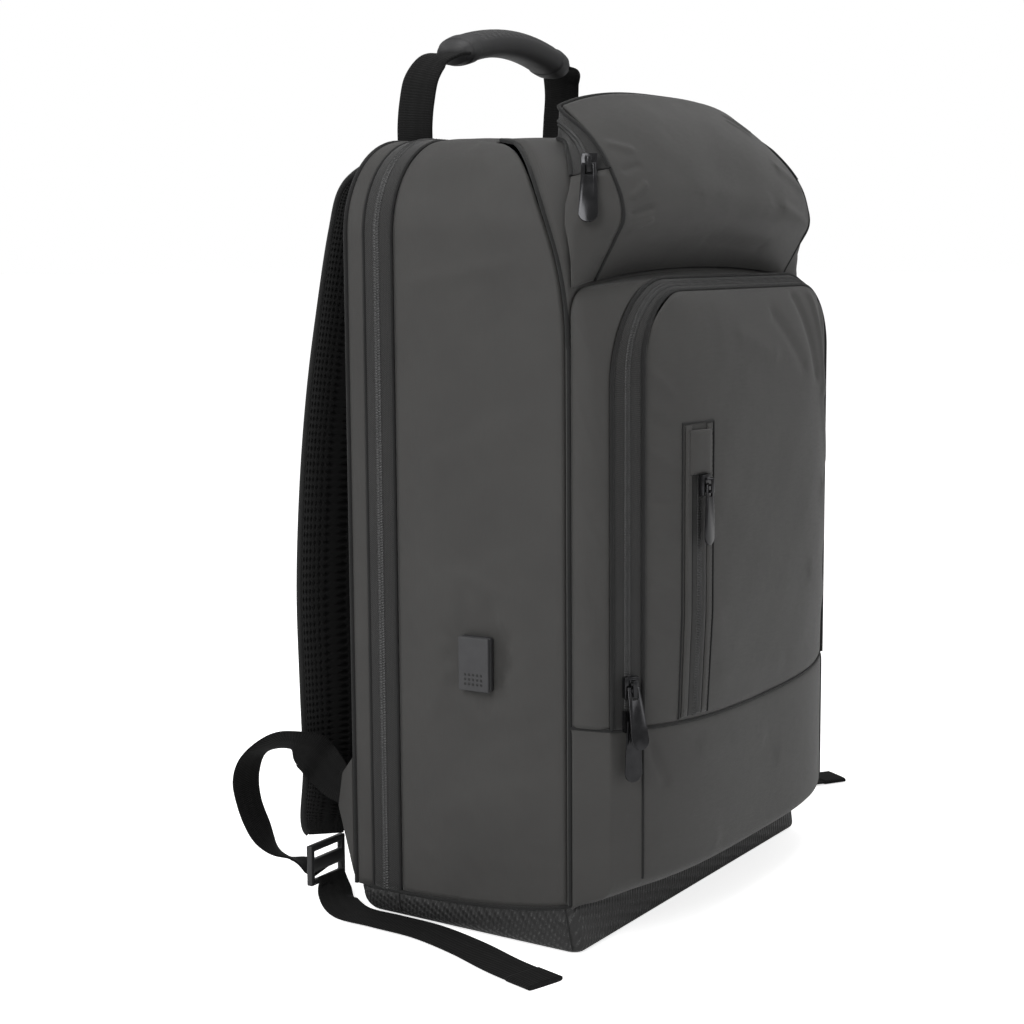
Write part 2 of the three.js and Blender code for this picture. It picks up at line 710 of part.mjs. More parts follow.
function profileAt(share) {
  const next = boxProfile.findIndex((station) => station.share >= share);
  const high = boxProfile[max(next, 1)];
  const low = boxProfile[max(next, 1) - 1];
  const t = (share - low.share) / (high.share - low.share);
  return {
    share, out: low.out + (high.out - low.out) * t, up: low.up + (high.up - low.up) * t, swell: low.swell,
  };
}

function wallAtHeight(u, z) {
  const x = u * halfAt(bodyArch, z);
  return [x, frontAt(z, 0, fullnessAt(u)), z];
}

function edgePair(station, side) {
  const face = boxFace(-1, profileAt(station.profile));
  const wall = wallAtHeight(station.wallU, shoulderZ + shoulderHeight * station.up);
  const rise = min(1, max(0, (station.up - 0.65) / 0.35));
  return {
    face: [side * (abs(face[0]) + seamGap + 1.2), face[1] + 0.4 + station.back * (clothWall + 1.6), face[2]],
    wall: [side * abs(wall[0]), wall[1] - seamGap - clothWall - 0.5, wall[2] + (seamGap + 0.6) * rise],
  };
}

function boxBand(name, pairs, wall, finish, swell) {
  const grid = pairs.map(({ face, wall: foot }) => [0, 0.33, 0.67, 1].map((v) => {
    const spot = mix(face, foot, v * 0.97 + 0.015);
    const bulge = swell * 4 * v * (1 - v);
    return [spot[0] + Math.sign(spot[0]) * bulge, spot[1] - bulge * 0.3, spot[2]];
  }));
  place(name, between(grid, inward(grid, wall, boxMiddle)), finish);
}

const zipStart = 6;
const leftPairs = edgeStations.map((station) => edgePair(station, -1));
const rightPairs = edgeStations.map((station) => edgePair(station, 1));
boxBand('box_end_left', leftPairs.slice(0, zipStart), clothWall, cloth, 2);
boxBand('box_end_right', rightPairs.slice(0, zipStart), clothWall, cloth, 2);
{
  const topPairs = steps(10, -0.95, 0.95).slice(1, -1).map((u) => {
    const face = boxFace(u, boxProfile[boxProfile.length - 1]);
    const foot = wallSpot(u, leftPairs[leftPairs.length - 1].wall[1] + clothWall);
    return {
      face: [face[0], face[1] + clothWall + tapeWall + seamGap, face[2] - 0.3],
      wall: [foot[0], foot[1], foot[2] + 2 * seamGap],
    };
  });
  const pairs = [...leftPairs.slice(zipStart), ...topPairs, ...rightPairs.slice(zipStart).reverse()];
  boxBand('box_zip', pairs, tapeWall, dark, 0);
}

// Carrying handle: two webbing legs that lean forward and a ribbed grip between their ends.
// Shares of the way out from the grip's end, of the rise over the body and of the lean
const handleRoute = [
  { out: 1.00, up: 0.01, lean: 0 },
  { out: 1.00, up: 0.16, lean: 0 },
  { out: 0.98, up: 0.36, lean: 0.1 },
  { out: 0.90, up: 0.58, lean: 0.3 },
  { out: 0.62, up: 0.74, lean: 0.6 },
  { out: 0.28, up: 0.81, lean: 1 },
  { out: 0.00, up: 0.83, lean: 1 },
];

function handleLeg(side) {
  const near = gripHalf + seamGap;
  return swept(handleRoute.map(({ out, up, lean }) => ({
    at: [side * (near + (handleHalf - near) * out), handleY - handleLean * lean, bodyHeight + 0.2 + handleRise * up],
    across: [0, 1, 0],
    width: webWidth,
    thick: handleThick,
  })), flatSection);
}
place('handle_leg_left', handleLeg(-1), webbing);
place('handle_leg_right', handleLeg(1), webbing);
{
  const ring = steps(12, 0, 2 * PI).slice(0, -1).map((turn) => [cos(turn), sin(turn)]);
  const stations = steps(24, -1, 1).map((share) => {
    const rib = abs(share) > 0.8 ? 1 : 1 + gripRib * cos(PI * 20 * share);
    const end = rib - 0.2 * abs(share) ** 12;
    const low = 1 - handleRoute[handleRoute.length - 1].up;
    return {
      at: [share * gripHalf, handleY - handleLean, bodyHeight + handleRise * (1 - low * share * share)],
      across: [0, 1, 0],
      width: gripWidth * end,
      thick: gripThick * end,
    };
  });
  place('handle_grip', swept(stations, ring), rubber);
}

// Shoulder straps: padded, hanging behind the pack, with a ladder lock at the low end. Shares of the
// body's half width, of the strap's stand behind the back and of its height over the lock
const strapRoute = [
  { x: 0.537, out: 0.026, up: 1.000, flat: true, width: 0.86, thick: 0.5 },
  { x: 0.537, out: 0.333, up: 0.995, flat: true, width: 0.94, thick: 0.8 },
  { x: 0.570, out: 0.690, up: 0.958, width: 1, thick: 1 },
  { x: 0.604, out: 0.820, up: 0.894, width: 1, thick: 1 },
  { x: 0.661, out: 0.910, up: 0.778, width: 1, thick: 1 },
  { x: 0.721, out: 0.960, up: 0.655, width: 1, thick: 1 },
  { x: 0.768, out: 0.987, up: 0.519, width: 1, thick: 1 },
  { x: 0.795, out: 1.000, up: 0.371, width: 1, thick: 1 },
  { x: 0.805, out: 0.960, up: 0.223, width: 0.98, thick: 1 },
  { x: 0.836, out: 0.885, up: 0.104, width: 0.9, thick: 0.9 },
  { x: 0.902, out: 0.860, up: 0.025, width: 0.72, thick: 0.6 },
  { x: 0.919, out: 0.774, up: 0.000, width: 0.56, thick: 0.3 },
];
const lockSpot = [halfBody - lockInset, rearY + lockStand, lockZ];

// Webbing from the wing at the pack's lower corner, round in a loop, to the ladder lock. Shares of the
// body's half width and of the loop's reach and height, and the way that the webbing's width lies
const loopRoute = [
  { x: 0.969, out: 0.068, up: 0.725, lies: [0, 0, 1] },
  { x: 0.969, out: 0.223, up: 0.755, lies: [0, 0, 1] },
  { x: 0.993, out: 0.311, up: 0.843, lies: [0.15, 0, 0.9] },
  { x: 1.047, out: 0.378, up: 0.951, lies: [0.3, 0.1, 0.85] },
  { x: 1.094, out: 0.540, up: 1.000, lies: [0.8, 0.1, 0.55] },
  { x: 1.114, out: 0.811, up: 0.912, lies: [1, 0, 0.1] },
  { x: 1.114, out: 0.919, up: 0.765, lies: [1, 0, 0] },
  { x: 1.107, out: 0.905, up: 0.598, lies: [1, -0.1, 0] },
  { x: 1.087, out: 0.838, up: 0.441, lies: [1, -0.1, 0.1] },
  { x: 1.054, out: 0.757, up: 0.324, lies: [0.9, -0.1, 0.4] },
  { x: 1.007, out: 0.662, up: 0.245, lies: [0.8, 0, 0.5] },
  { x: 0.963, out: 0.568, up: 0.196, lies: [0.95, 0, 0.2] },
  { x: 0.936, out: 0.486, up: 0.172, lies: [1, 0, 0] },
  { x: 0.930, out: 0.435, up: 0.167, lies: [1, 0, 0] },
];

// A tail leaves the lock, from whose middle its first steps are measured, and lies on the floor, at shares
// of the body's half width and half depth
const tailStart = [[0, -3.4, -8], [0.5, -7.1, -15], [7.5, -14.5, -20]];
const tailRoutes = {
  left: [
    { x: 1.050, y: 0.960 },
    { x: 1.066, y: 0.600 },
    { x: 1.083, y: 0.187 },
    { x: 1.151, y: -0.267 },
    { x: 1.248, y: -0.733 },
    { x: 1.315, y: -1.160 },
  ],
  right: [
    { x: 1.094, y: 0.933 },
    { x: 1.235, y: 0.560 },
    { x: 1.383, y: 0.160 },
    { x: 1.530, y: -0.187 },
    { x: 1.691, y: -0.493 },
    { x: 1.866, y: -0.733 },
  ],
};

function lockGeometry() {
  const bar = 3;
  const post = 3.5;
  const opening = 5;
  const frame = new THREE.Shape();
  frame.moveTo(-lockWidth / 2, -lockHeight / 2);
  frame.lineTo(lockWidth / 2, -lockHeight / 2);
  frame.lineTo(lockWidth / 2, lockHeight / 2);
  frame.lineTo(-lockWidth / 2, lockHeight / 2);
  for (const low of [bar - lockHeight / 2, lockHeight / 2 - 3 * bar]) {
    const slot = new THREE.Path();
    slot.moveTo(post - lockWidth / 2, low);
    slot.lineTo(post - lockWidth / 2, low + opening);
    slot.lineTo(lockWidth / 2 - post, low + opening);
    slot.lineTo(lockWidth / 2 - post, low);
    frame.holes.push(slot);
  }
  const lock = new THREE.ExtrudeGeometry(frame, { depth: lockThick, bevelEnabled: false });
  return lock.translate(0, 0, -lockThick / 2).rotateX(PI / 2);
}

function strapSide(side, word) {
  const lockTop = lockZ + lockHeight / 2 + lockLap;
  const strapTop = bodyHeight - strapDrop;
  const pad = strapRoute.map(({ x, out, up, flat, width, thick }) => ({
    at: [side * halfBody * x, rearY + strapStand * out, lockTop + (strapTop - lockTop) * up],
    across: [1, flat ? 0 : 0.12 * side, 0],
    width: strapWidth * width,
    thick: strapThick * thick,
  }));
  place(`shoulder_strap_${word}`, swept(pad, paddedSection), mesh);
  const lock = place(`ladder_lock_${word}`, lockGeometry(), plastic);
  lock.position.set(side * lockSpot[0], lockSpot[1], lockSpot[2]);

  const loop = loopRoute.map(({ x, out, up, lies }) => ({
    at: [side * halfBody * x, rearY + loopReach * out, loopHeight * up],
    across: [side * lies[0], lies[1], lies[2]],
    width: webWidth,
    thick: webThick,
  }));
  place(`strap_webbing_${word}`, swept(loop, flatSection), webbing);

  const tail = [
    ...tailStart.map((step) => ({ x: lockSpot[0] + step[0], y: lockSpot[1] + step[1], z: lockSpot[2] + step[2] })),
    ...tailRoutes[word].map(({ x, y }) => ({ x: halfBody * x, y: rearY * y, z: 0 })),
  ];

  // The tail's end is folded back on itself and sewn
  const end = tail[tail.length - 1];
  const before = tail[tail.length - 2];
  const fold = tailFold / Math.hypot(end.x - before.x, end.y - before.y);
  const spots = [
    ...tail.slice(0, -1),
    { ...end, x: end.x + (before.x - end.x) * fold * 1.15, y: end.y + (before.y - end.y) * fold * 1.15 },
    { ...end, x: end.x + (before.x - end.x) * fold, y: end.y + (before.y - end.y) * fold },
    end,
  ];
  const lying = spots.map(({ x: across, y: along, z: height }, i) => {
    const thickness = i >= spots.length - 2 ? 2 * webThick : webThick;
    return {
      at: [side * across, along, max(height, webRest + thickness / 2)],
      across: [1, height > 0 ? 0 : side * 0.5, 0],
      width: webWidth,
      thick: thickness,
    };
  });
  place(`strap_tail_${word}`, swept(lying, flatSection), webbing);
}
strapSide(-1, 'left');
strapSide(1, 'right');

// Wings: flat cloth triangles at the back's lower corners, where the webbing is sewn in
function wing(side) {
  const shape = new THREE.Shape();
  shape.moveTo(0, wingTop * 0.23);
  shape.lineTo(wingReach, wingTop * 0.67);
  shape.lineTo(wingReach * 0.7, wingTop * 0.89);
  shape.lineTo(0, wingTop);
  const geometry = new THREE.ExtrudeGeometry(shape, { depth: wingThick, bevelEnabled: false });
  geometry.rotateX(PI / 2).rotateZ(PI / 2);
  geometry.translate(side > 0 ? halfBody - wingThick : -halfBody, rearY + seamGap, 0);
  return geometry;
}
place('wing_left', wing(-1), cloth);
place('wing_right', wing(1), cloth);

// USB outlet: backing plate in the side's dimple, socket housing and a hinged cover
{
  const skin = -halfBody - lift;
  const oval = new THREE.Shape();
  oval.absellipse(0, 0, portPlateWidth / 2, portPlateHeight / 2, 0, 2 * PI);
  const plate = new THREE.ExtrudeGeometry(oval, { depth: 1, bevelEnabled: false, curveSegments: 10 });
  plate.rotateX(PI / 2).rotateZ(-PI / 2).translate(skin, portY, portZ + 4);
  place('usb_plate', plate, rubber);
  const front = skin - 1 - lift;
  const housing = solid(block(front - portDepth, front, portY - portWidth / 2, portY + portWidth / 2,
    portZ - portHeight / 2, portZ + portHeight / 2));
  const socket = solid(block(front - portDepth - 1, front - 1.5, portY - 3, portY + 3, portZ - 7, portZ + 7));
  place('usb_housing', geometryOf(housing.subtract(socket)), plastic);
  // The cover hangs from its rounded top edge, the axis that it swings about
  const round = coverThick / 2;
  const profile = new THREE.Shape();
  profile.moveTo(round, 0);
  profile.absarc(0, 0, round, 0, PI, false);
  profile.lineTo(-round, round - portHeight);
  profile.lineTo(round, round - portHeight);
  const cover = new THREE.ExtrudeGeometry(profile, { depth: portWidth, bevelEnabled: false, curveSegments: 5 });
  cover.translate(0, 0, -portWidth / 2).rotateX(PI / 2);
  const hung = place('usb_cover', cover, rubber);
  hung.position.set(front - portDepth - moving - round, portY, portZ + portHeight / 2 - round);
}

// Zip slider and its pull in their own frame: X across, Y out of the bag, Z up along the zip
const pullAxis = sliderThick + pullLift + pullThick / 2 + 0.3;
const bailHalf = 1.3;
const bailReach = 4.4;
const bailTop = pullAxis + pullThick / 2 + 1.9;

function sliderGeometry() {
  const body = solid(block(-sliderWidth / 2, sliderWidth / 2, 0, sliderThick, -sliderLength / 2, sliderLength / 2));
  const bail = solid(block(-bailHalf, bailHalf, sliderThick - 0.5, bailTop, -bailReach, bailReach));
  const eye = solid(block(-bailHalf - 1, bailHalf + 1, sliderThick, bailTop - 1.2, -2.8, 2.8));
  return geometryOf(body.add(bail.subtract(eye)));
}

function pullGeometry(length) {
  const bar = 0.7;
  const shape = new THREE.Shape();
  const wide = pullWidth / 2;
  const narrow = pullWidth / 2 - 1.6;
  shape.moveTo(narrow, bar);
  shape.lineTo(-narrow, bar);
  shape.absarc(0, -length + wide, wide, PI, 2 * PI, false);
  const eye = new THREE.Path();
  eye.moveTo(-bailHalf - 0.7, -bar);
  eye.lineTo(bailHalf + 0.7, -bar);
  eye.lineTo(bailHalf + 0.7, -6.5);
  eye.lineTo(-bailHalf - 0.7, -6.5);
  shape.holes.push(eye);
  const geometry = new THREE.ExtrudeGeometry(shape, { depth: pullThick, bevelEnabled: false, curveSegments: 8 });
  return geometry.translate(0, 0, -pullThick / 2).rotateX(PI / 2);
}

// A slider and its pull on a face: the spot, the way the face looks as a turn about Z, and the pull's lean
function zipPull(name, spot, turn, lean, length = pullLength) {
  const seat = new THREE.Group();
  seat.position.set(...spot);
  seat.rotation.z = turn;
  backpack.add(seat);
  place(`${name}_slider`, sliderGeometry(), metal, seat);
  const swing = new THREE.Group();
  swing.position.set(0, pullAxis, 0);
  swing.rotation.x = lean;
  seat.add(swing);
  place(`${name}_pull`, pullGeometry(length), metal, swing);
}

{
  const z = slitTop - slitSliderDrop;
  const proud = 2 * lift + 0.8;
  zipPull('slit', [slitCentre, faceY(slitCentre + sliderWidth / 2, z) - proud, z], PI, 0);
}

// Two sliders meet at the foot of the front zip; the upper pull lies over the lower slider
const frontPitch = 19;
const frontSliderZ = lowerSeam + 7;
{
  const mid = mix([-zipOutline.half, zipOutline.y], [-faceOutline.half, faceOutline.y], 0.5);
  const across = [zipOutline.half - faceOutline.half, faceOutline.y - zipOutline.y];
  const size = Math.hypot(...across);
  const out = [across[1] / size, -across[0] / size];
  const proud = 1 + seamGap;
  const turn = Math.atan2(-out[0], out[1]);
  const spot = (z) => [mid[0] + out[0] * proud, mid[1] + out[1] * proud, z];
  const rest = Math.asin((bailTop - pullAxis + pullThick / 2 + moving + 0.2) / (frontPitch - bailReach));
  zipPull('front_upper', spot(frontSliderZ + frontPitch), turn, rest);
  zipPull('front_lower', spot(frontSliderZ), turn, 0);
}

// The top box's slider stands at the foot of its zip on the left end, its pull lying on the end panel
{
  const { face, wall: foot } = leftPairs[zipStart];
  const spot = mix(face, foot, 0.5);
  const size = Math.hypot(foot[0] - face[0], foot[1] - face[1]);
  const out = [-(foot[1] - face[1]) / size, (foot[0] - face[0]) / size];
  const proud = 0.5;
  const raised = 4;
  const lean = 0.42;
  const seat = [spot[0] + out[0] * proud, spot[1] + out[1] * proud, spot[2] + raised];
  zipPull('box', seat, Math.atan2(-out[0], out[1]), lean);
}

// The origin is the middle of what the pack stands on
const bounds = new THREE.Box3().setFromObject(backpack);
backpack.position.set(-(bounds.min.x + bounds.max.x) / 2, -(bounds.min.y + bounds.max.y) / 2, -bounds.min.z);

export default backpack;
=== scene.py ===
from math import cos, pi, radians, sin

import bpy
import numpy as np
from mathutils import Matrix, Vector


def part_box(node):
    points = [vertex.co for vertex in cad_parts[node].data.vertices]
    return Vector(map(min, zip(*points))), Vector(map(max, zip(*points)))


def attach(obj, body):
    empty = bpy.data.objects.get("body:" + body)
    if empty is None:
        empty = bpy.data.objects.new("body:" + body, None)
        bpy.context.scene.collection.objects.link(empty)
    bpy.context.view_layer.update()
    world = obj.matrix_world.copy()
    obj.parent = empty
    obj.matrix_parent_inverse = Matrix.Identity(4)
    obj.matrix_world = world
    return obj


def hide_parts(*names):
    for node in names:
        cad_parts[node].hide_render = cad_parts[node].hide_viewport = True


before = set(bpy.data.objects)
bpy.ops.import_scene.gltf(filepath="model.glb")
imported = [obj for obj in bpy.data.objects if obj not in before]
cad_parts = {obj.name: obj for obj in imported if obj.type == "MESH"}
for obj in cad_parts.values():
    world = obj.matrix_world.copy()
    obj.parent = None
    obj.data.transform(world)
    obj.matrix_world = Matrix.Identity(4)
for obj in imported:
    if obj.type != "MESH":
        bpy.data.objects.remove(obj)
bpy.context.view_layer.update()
MM = 0.001

# Studio
# The pack stands on a white floor that fades into white, under broad soft light from the left
# and above, and is seen from its left front corner a little above its middle.
boot_low, boot_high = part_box("base_boot")
front_plane, back_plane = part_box("yoke_wall")[0].y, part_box("back_panel")[1].y
MIDDLE = Vector(((boot_low.x + boot_high.x) / 2, (front_plane + back_plane) / 2, 0))

CAMERA_PLACE = (-1070.0, -617.4, 391.5)
CAMERA_TURN = -57.841
CAMERA_DIP = 7.476
CAMERA_ROLL = -0.417
FOCAL_PIXELS = 1976.7
PICTURE_PIXELS = 1024
SENSOR = 36.0


def aim(turn, dip, roll):
    """World matrix rows of a camera that looks that way: its right, its up and its back."""
    a, e, r = radians(turn), radians(dip), radians(roll)
    look = Vector((-sin(a) * cos(e), cos(a) * cos(e), -sin(e)))
    level = Vector((cos(a), sin(a), 0))
    upright = level.cross(look)
    right = level * cos(r) + upright * sin(r)
    up = -level * sin(r) + upright * cos(r)
    return Matrix((right, up, -look)).transposed()


bpy.ops.object.select_all(action="DESELECT")
bpy.ops.object.camera_add(location=MIDDLE + Vector(CAMERA_PLACE) * MM)
camera = bpy.context.object
camera.rotation_euler = aim(CAMERA_TURN, CAMERA_DIP, CAMERA_ROLL).to_euler()
camera.data.sensor_width = SENSOR
camera.data.lens = FOCAL_PIXELS / PICTURE_PIXELS * SENSOR
camera.data.clip_end = 40
bpy.context.scene.camera = camera
bpy.context.scene.view_settings.view_transform = "Standard"

world = bpy.data.worlds.new("studio")
world.use_nodes = True
sky = world.node_tree
seen = sky.nodes.new("ShaderNodeLightPath").outputs["Is Camera Ray"]
level = sky.nodes.new("ShaderNodeMapRange")
level.inputs["To Min"].default_value = 0.42
level.inputs["To Max"].default_value = 1.0
sky.links.new(seen, level.inputs["Value"])
sky.links.new(level.outputs["Result"], sky.nodes["Background"].inputs["Strength"])
sky.nodes["Background"].inputs["Color"].default_value = (1, 1, 1, 1)
bpy.context.scene.world = world

LAMPS = [
    # name, place in metres from the pack's middle, size in metres, watts
    ("key", (-2.2, -0.1, 1.5), 1.4, 34),
    ("top", (0.0, -0.2, 2.2), 1.4, 14),
    ("front", (0.5, -2.4, 1.2), 1.4, 11),
    ("rim", (-1.2, 1.9, 1.4), 1.0, 10),
]
for name, place, size, watts in LAMPS:
    bpy.ops.object.light_add(type="AREA", location=MIDDLE + Vector(place))
    lamp = bpy.context.object
    lamp.name = f"lamp_{name}"
    lamp.data.shape = "DISK"
    lamp.data.size = size
    lamp.data.energy = watts
    towards = MIDDLE + Vector((0, 0, 0.25)) - lamp.location
    lamp.rotation_euler = towards.to_track_quat("-Z", "Y").to_euler()

bpy.ops.mesh.primitive_plane_add(size=60, location=(0, 0, -0.0005))
floor = bpy.context.object
floor.name = "floor"
floor_paint = bpy.data.materials.new("floor_white")
floor_paint.use_nodes = True
paint = floor_paint.node_tree.nodes["Principled BSDF"]
paint.inputs["Base Color"].default_value = (0.93, 0.93, 0.93, 1)
paint.inputs["Roughness"].default_value = 0.9
paint.inputs["Specular IOR Level"].default_value = 0.1
# The floor is lit up where the camera sees it, so that only the contact shadows stay
paint.inputs["Emission Color"].default_value = (1, 1, 1, 1)
glow = floor_paint.node_tree
seen = glow.nodes.new("ShaderNodeLightPath").outputs["Is Camera Ray"]
lit = glow.nodes.new("ShaderNodeMath")
lit.operation = "MULTIPLY"
lit.inputs[1].default_value = 0.72
glow.links.new(seen, lit.inputs[0])
glow.links.new(lit.outputs[0], paint.inputs["Emission Strength"])
floor.data.materials.append(floor_paint)

# Side cloth
# One long panel of coated polyester runs from the boot up the left side, over the top and down
# the right, from the front corner seam back to the main zip. It swells a little between its seams.
HALF = (boot_high.x - boot_low.x) / 2 / MM
REAR = (back_plane - front_plane) / 2 / MM
FRONT = -REAR
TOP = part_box("back_panel")[1].z / MM
BOOT_TOP = boot_high.z / MM
BOOT_REAR_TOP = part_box("back_panel")[0].z / MM - 0.6
CORNER = 55.0
SHOULDER_DEPTH = 68.0
SHOULDER_HEIGHT = 116.0
SHOULDER_Y = FRONT + SHOULDER_DEPTH
SHOULDER_Z = TOP - 1 - SHOULDER_HEIGHT
SEAM = 0.6
WALL = 1.8
ZIP_FRONT = (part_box("main_zip")[0].y - MIDDLE.y) / MM
ZIP_REAR = (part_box("rear_strip")[0].y - MIDDLE.y) / MM
FOOT = BOOT_TOP + SEAM
PORT_LOW, PORT_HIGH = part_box("usb_plate")
PORT_Y = ((PORT_LOW.y + PORT_HIGH.y) / 2 - MIDDLE.y) / MM
PORT_Z = (PORT_LOW.z + PORT_HIGH.z) / 2 / MM


def arch(t, half, top, radius, foot, knee=(0.3, 0.42)):
    """Inverted U seen from the front, t from 0 at the left foot over the top to 1 at the right."""
    m = np.where(t > 0.5, 1 - t, t)
    side = np.where(t > 0.5, 1.0, -1.0)
    rise = np.clip(m / knee[0], 0, 1)
    turn = np.clip((m - knee[0]) / (knee[1] - knee[0]), 0, 1) * pi / 2
    over = np.clip((m - knee[1]) / (0.5 - knee[1]), 0, 1)
    flat = half - radius
    x = np.where(turn < pi / 2, flat + radius * np.cos(turn), flat * (1 - over))
    z = foot + (top - radius - foot) * rise + radius * np.sin(turn)
    return side * x, z, side * np.cos(turn), np.sin(turn)


def half_at(z, half, top, radius):
    """Half width of an inverted U at a height."""
    rise = np.clip(z - (top - radius), 0, radius)
    return half - radius + np.sqrt(np.maximum(radius**2 - rise**2, 0))


def front_at(z, inset, fullness):
    rise = np.clip((z - SHOULDER_Z) / (SHOULDER_HEIGHT - inset), 0, 1)
    return SHOULDER_Y - (SHOULDER_DEPTH - inset) * (1 - rise**fullness) ** (1 / fullness)


def boot_top(y):
    return BOOT_REAR_TOP + (BOOT_TOP - BOOT_REAR_TOP) * np.maximum((REAR - y) / (REAR - FRONT), 0) ** 3.5


def footed(z, y):
    share = np.clip((z - FOOT) / (TOP - FOOT), 0, 1)
    return z + (boot_top(y) + SEAM - FOOT) * (1 - share) ** 3


def soft(value, low, high):
    """0 below low, 1 above high, smooth between them."""
    t = np.clip((value - low) / (high - low), 0, 1)
    return t * t * (3 - 2 * t)


def creases(x, z, table):
    """Relief of folds: each runs from one spot to another, with its half width and its height."""
    relief = np.zeros_like(x)
    for x0, z0, x1, z1, width, height in table:
        dx, dz = x1 - x0, z1 - z0
        length = (dx * dx + dz * dz) ** 0.5
        along = np.clip(((x - x0) * dx + (z - z0) * dz) / length**2, 0, 1)
        off = ((x - x0) * dz - (z - z0) * dx) / length
        gap = np.hypot(x - x0 - along * dx, z - z0 - along * dz)
        lean = 1 - 0.35 * np.sign(off) * np.clip(gap / width, 0, 1)
        relief += height * np.exp(-((gap / width) ** 2)) * lean
    return relief


def rumple(a, b, size, phase=0.0):
    """Uneven low swells of cloth, the same on every run."""
    p, q = a / size, b / size
    wave = np.sin(1.7 * p + 2.1 * np.sin(0.9 * q + phase)) + np.sin(2.3 * q + 1.6 * np.sin(1.1 * p - phase))
    wave += 0.6 * np.sin(3.9 * p - 2.7 * q + phase * 2)
    wave += 0.5 * np.sin(1.3 * p + 4.4 * q + 1.9 * np.sin(p + phase))
    return wave / 3.1


def panel(name, columns, rows, at, reach, inside, wall=WALL, ring=False):
    """Cloth cut to a grid and sewn to shape: at(u, v) gives each spot in mm, reach its size in mm."""
    bpy.ops.object.select_all(action="DESELECT")
    bpy.ops.mesh.primitive_grid_add(x_subdivisions=columns, y_subdivisions=rows, size=1)
    piece = bpy.context.object
    piece.name = name
    mesh = piece.data
    flat = np.zeros(len(mesh.vertices) * 3)
    mesh.vertices.foreach_get("co", flat)
    u, v = flat[0::3] + 0.5, flat[1::3] + 0.5
    spots = np.stack([np.asarray(c, float) + 0 * u for c in at(u, v)], axis=1) * MM
    spots += np.array(MIDDLE)
    mesh.vertices.foreach_set("co", spots.ravel())
    corners = np.zeros(len(mesh.loops) * 2)
    mesh.uv_layers[0].data.foreach_get("uv", corners)
    corners[0::2] *= reach[0] * MM
    corners[1::2] *= reach[1] * MM
    mesh.uv_layers[0].data.foreach_set("uv", corners)
    mesh.update()
    if ring:
        sew_shut(piece)
        return piece
    centre = np.array(inside) * MM + np.array(MIDDLE)
    normals = np.zeros(len(mesh.vertices) * 3)
    mesh.vertices.foreach_get("normal", normals)
    if (normals.reshape(-1, 3) * (spots - centre)).sum() < 0:
        mesh.flip_normals()
    if wall:
        thick = piece.modifiers.new("wall", "SOLIDIFY")
        thick.thickness = wall * MM
        thick.offset = -1
        bpy.ops.object.modifier_apply(modifier="wall")
    mesh.shade_smooth()
    return piece


def sew_shut(piece):
    """Joins the long edges of a rolled grid and closes its two ends."""
    bpy.ops.object.mode_set(mode="EDIT")
    bpy.ops.mesh.select_all(action="SELECT")
    bpy.ops.mesh.remove_doubles(threshold=0.00001)
    bpy.ops.mesh.select_all(action="DESELECT")
    bpy.ops.mesh.select_non_manifold()
    bpy.ops.mesh.fill_holes(sides=0)
    bpy.ops.mesh.select_all(action="SELECT")
    bpy.ops.mesh.normals_make_consistent(inside=False)
    bpy.ops.object.mode_set(mode="OBJECT")
    piece.data.shade_smooth()


def worn_by(piece, slot, *nodes, body="pack"):
    """The piece goes with a body and stands for its CAD nodes, which it hides; slot is not used."""
    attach(piece, body)
    if nodes:
        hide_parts(*nodes)


SIDE_FOLDS = [
    # y and z of both ends, half width, height, in mm
    (-40, 385, 36, 372, 5, 0.9),
    (-52, 300, 30, 262, 9, 1.0),
    (-58, 238, 28, 205, 7, -0.9),
    (-50, 196, 20, 216, 6, 0.8),
    (-62, 170, -30, 150, 6, 0.9),
    (-66, 132, -22, 118, 7, -1.0),
    (-60, 96, 10, 70, 8, 0.9),
    (8, 136, 34, 104, 6, 0.8),
    (-10, 62, 36, 44, 7, -0.8),
    (-16, 436, -2, 448, 4, 1.2),
]


def side_spot(u, v):
    x, z, nx, nz = arch(u, HALF, TOP, CORNER, FOOT, (0.337, 0.415))
    front = np.maximum(front_at(z, WALL + SEAM, 2) + SEAM, FRONT + WALL + SEAM)
    y = front + (ZIP_FRONT - SEAM - front) * v
    z = footed(z, y)
    height = (z - BOOT_TOP) / (TOP - BOOT_TOP)
    edge = soft(np.minimum(v, 1 - v), 0, 0.3) * soft(height, 0, 0.12) * np.abs(nx)
    # The cloth is drawn in round the outlet, and puckers round the edge of its dimple
    reach = np.hypot((y - PORT_Y) / 17, (z - PORT_Z) / 25)
    calm = np.where(x < 0, soft(reach, 0.8, 1.5), 1)
    pucker = 0.7 * np.sin(9 * np.arctan2(z - PORT_Z, y - PORT_Y)) * np.exp(-(((reach - 1.3) / 0.28) ** 2))
    pucker = np.where(x < 0, pucker, 0)
    folds = creases(y, z, SIDE_FOLDS) + 0.5 * rumple(y, z, 34, 0.4)
    swell = 1.6 + (4 * edge - 1.6) * calm + edge * calm * folds
    swell += pucker + 0.25 * calm * rumple(y, z + x * 0.3, 11, 1.3) * soft(np.minimum(v, 1 - v), 0, 0.1)
    tuck = 1.5 * (np.exp(-v * 110 / 2.2) + np.exp(-(1 - v) * 110 / 2.2))
    out = swell - tuck
    return x + nx * out, y, z + nz * out


side_cloth = panel("side_cloth", 380, 44, side_spot, (1108, 110), (0, 0, 230))
worn_by(side_cloth, "cloth", "side_gusset", "usb_plate")


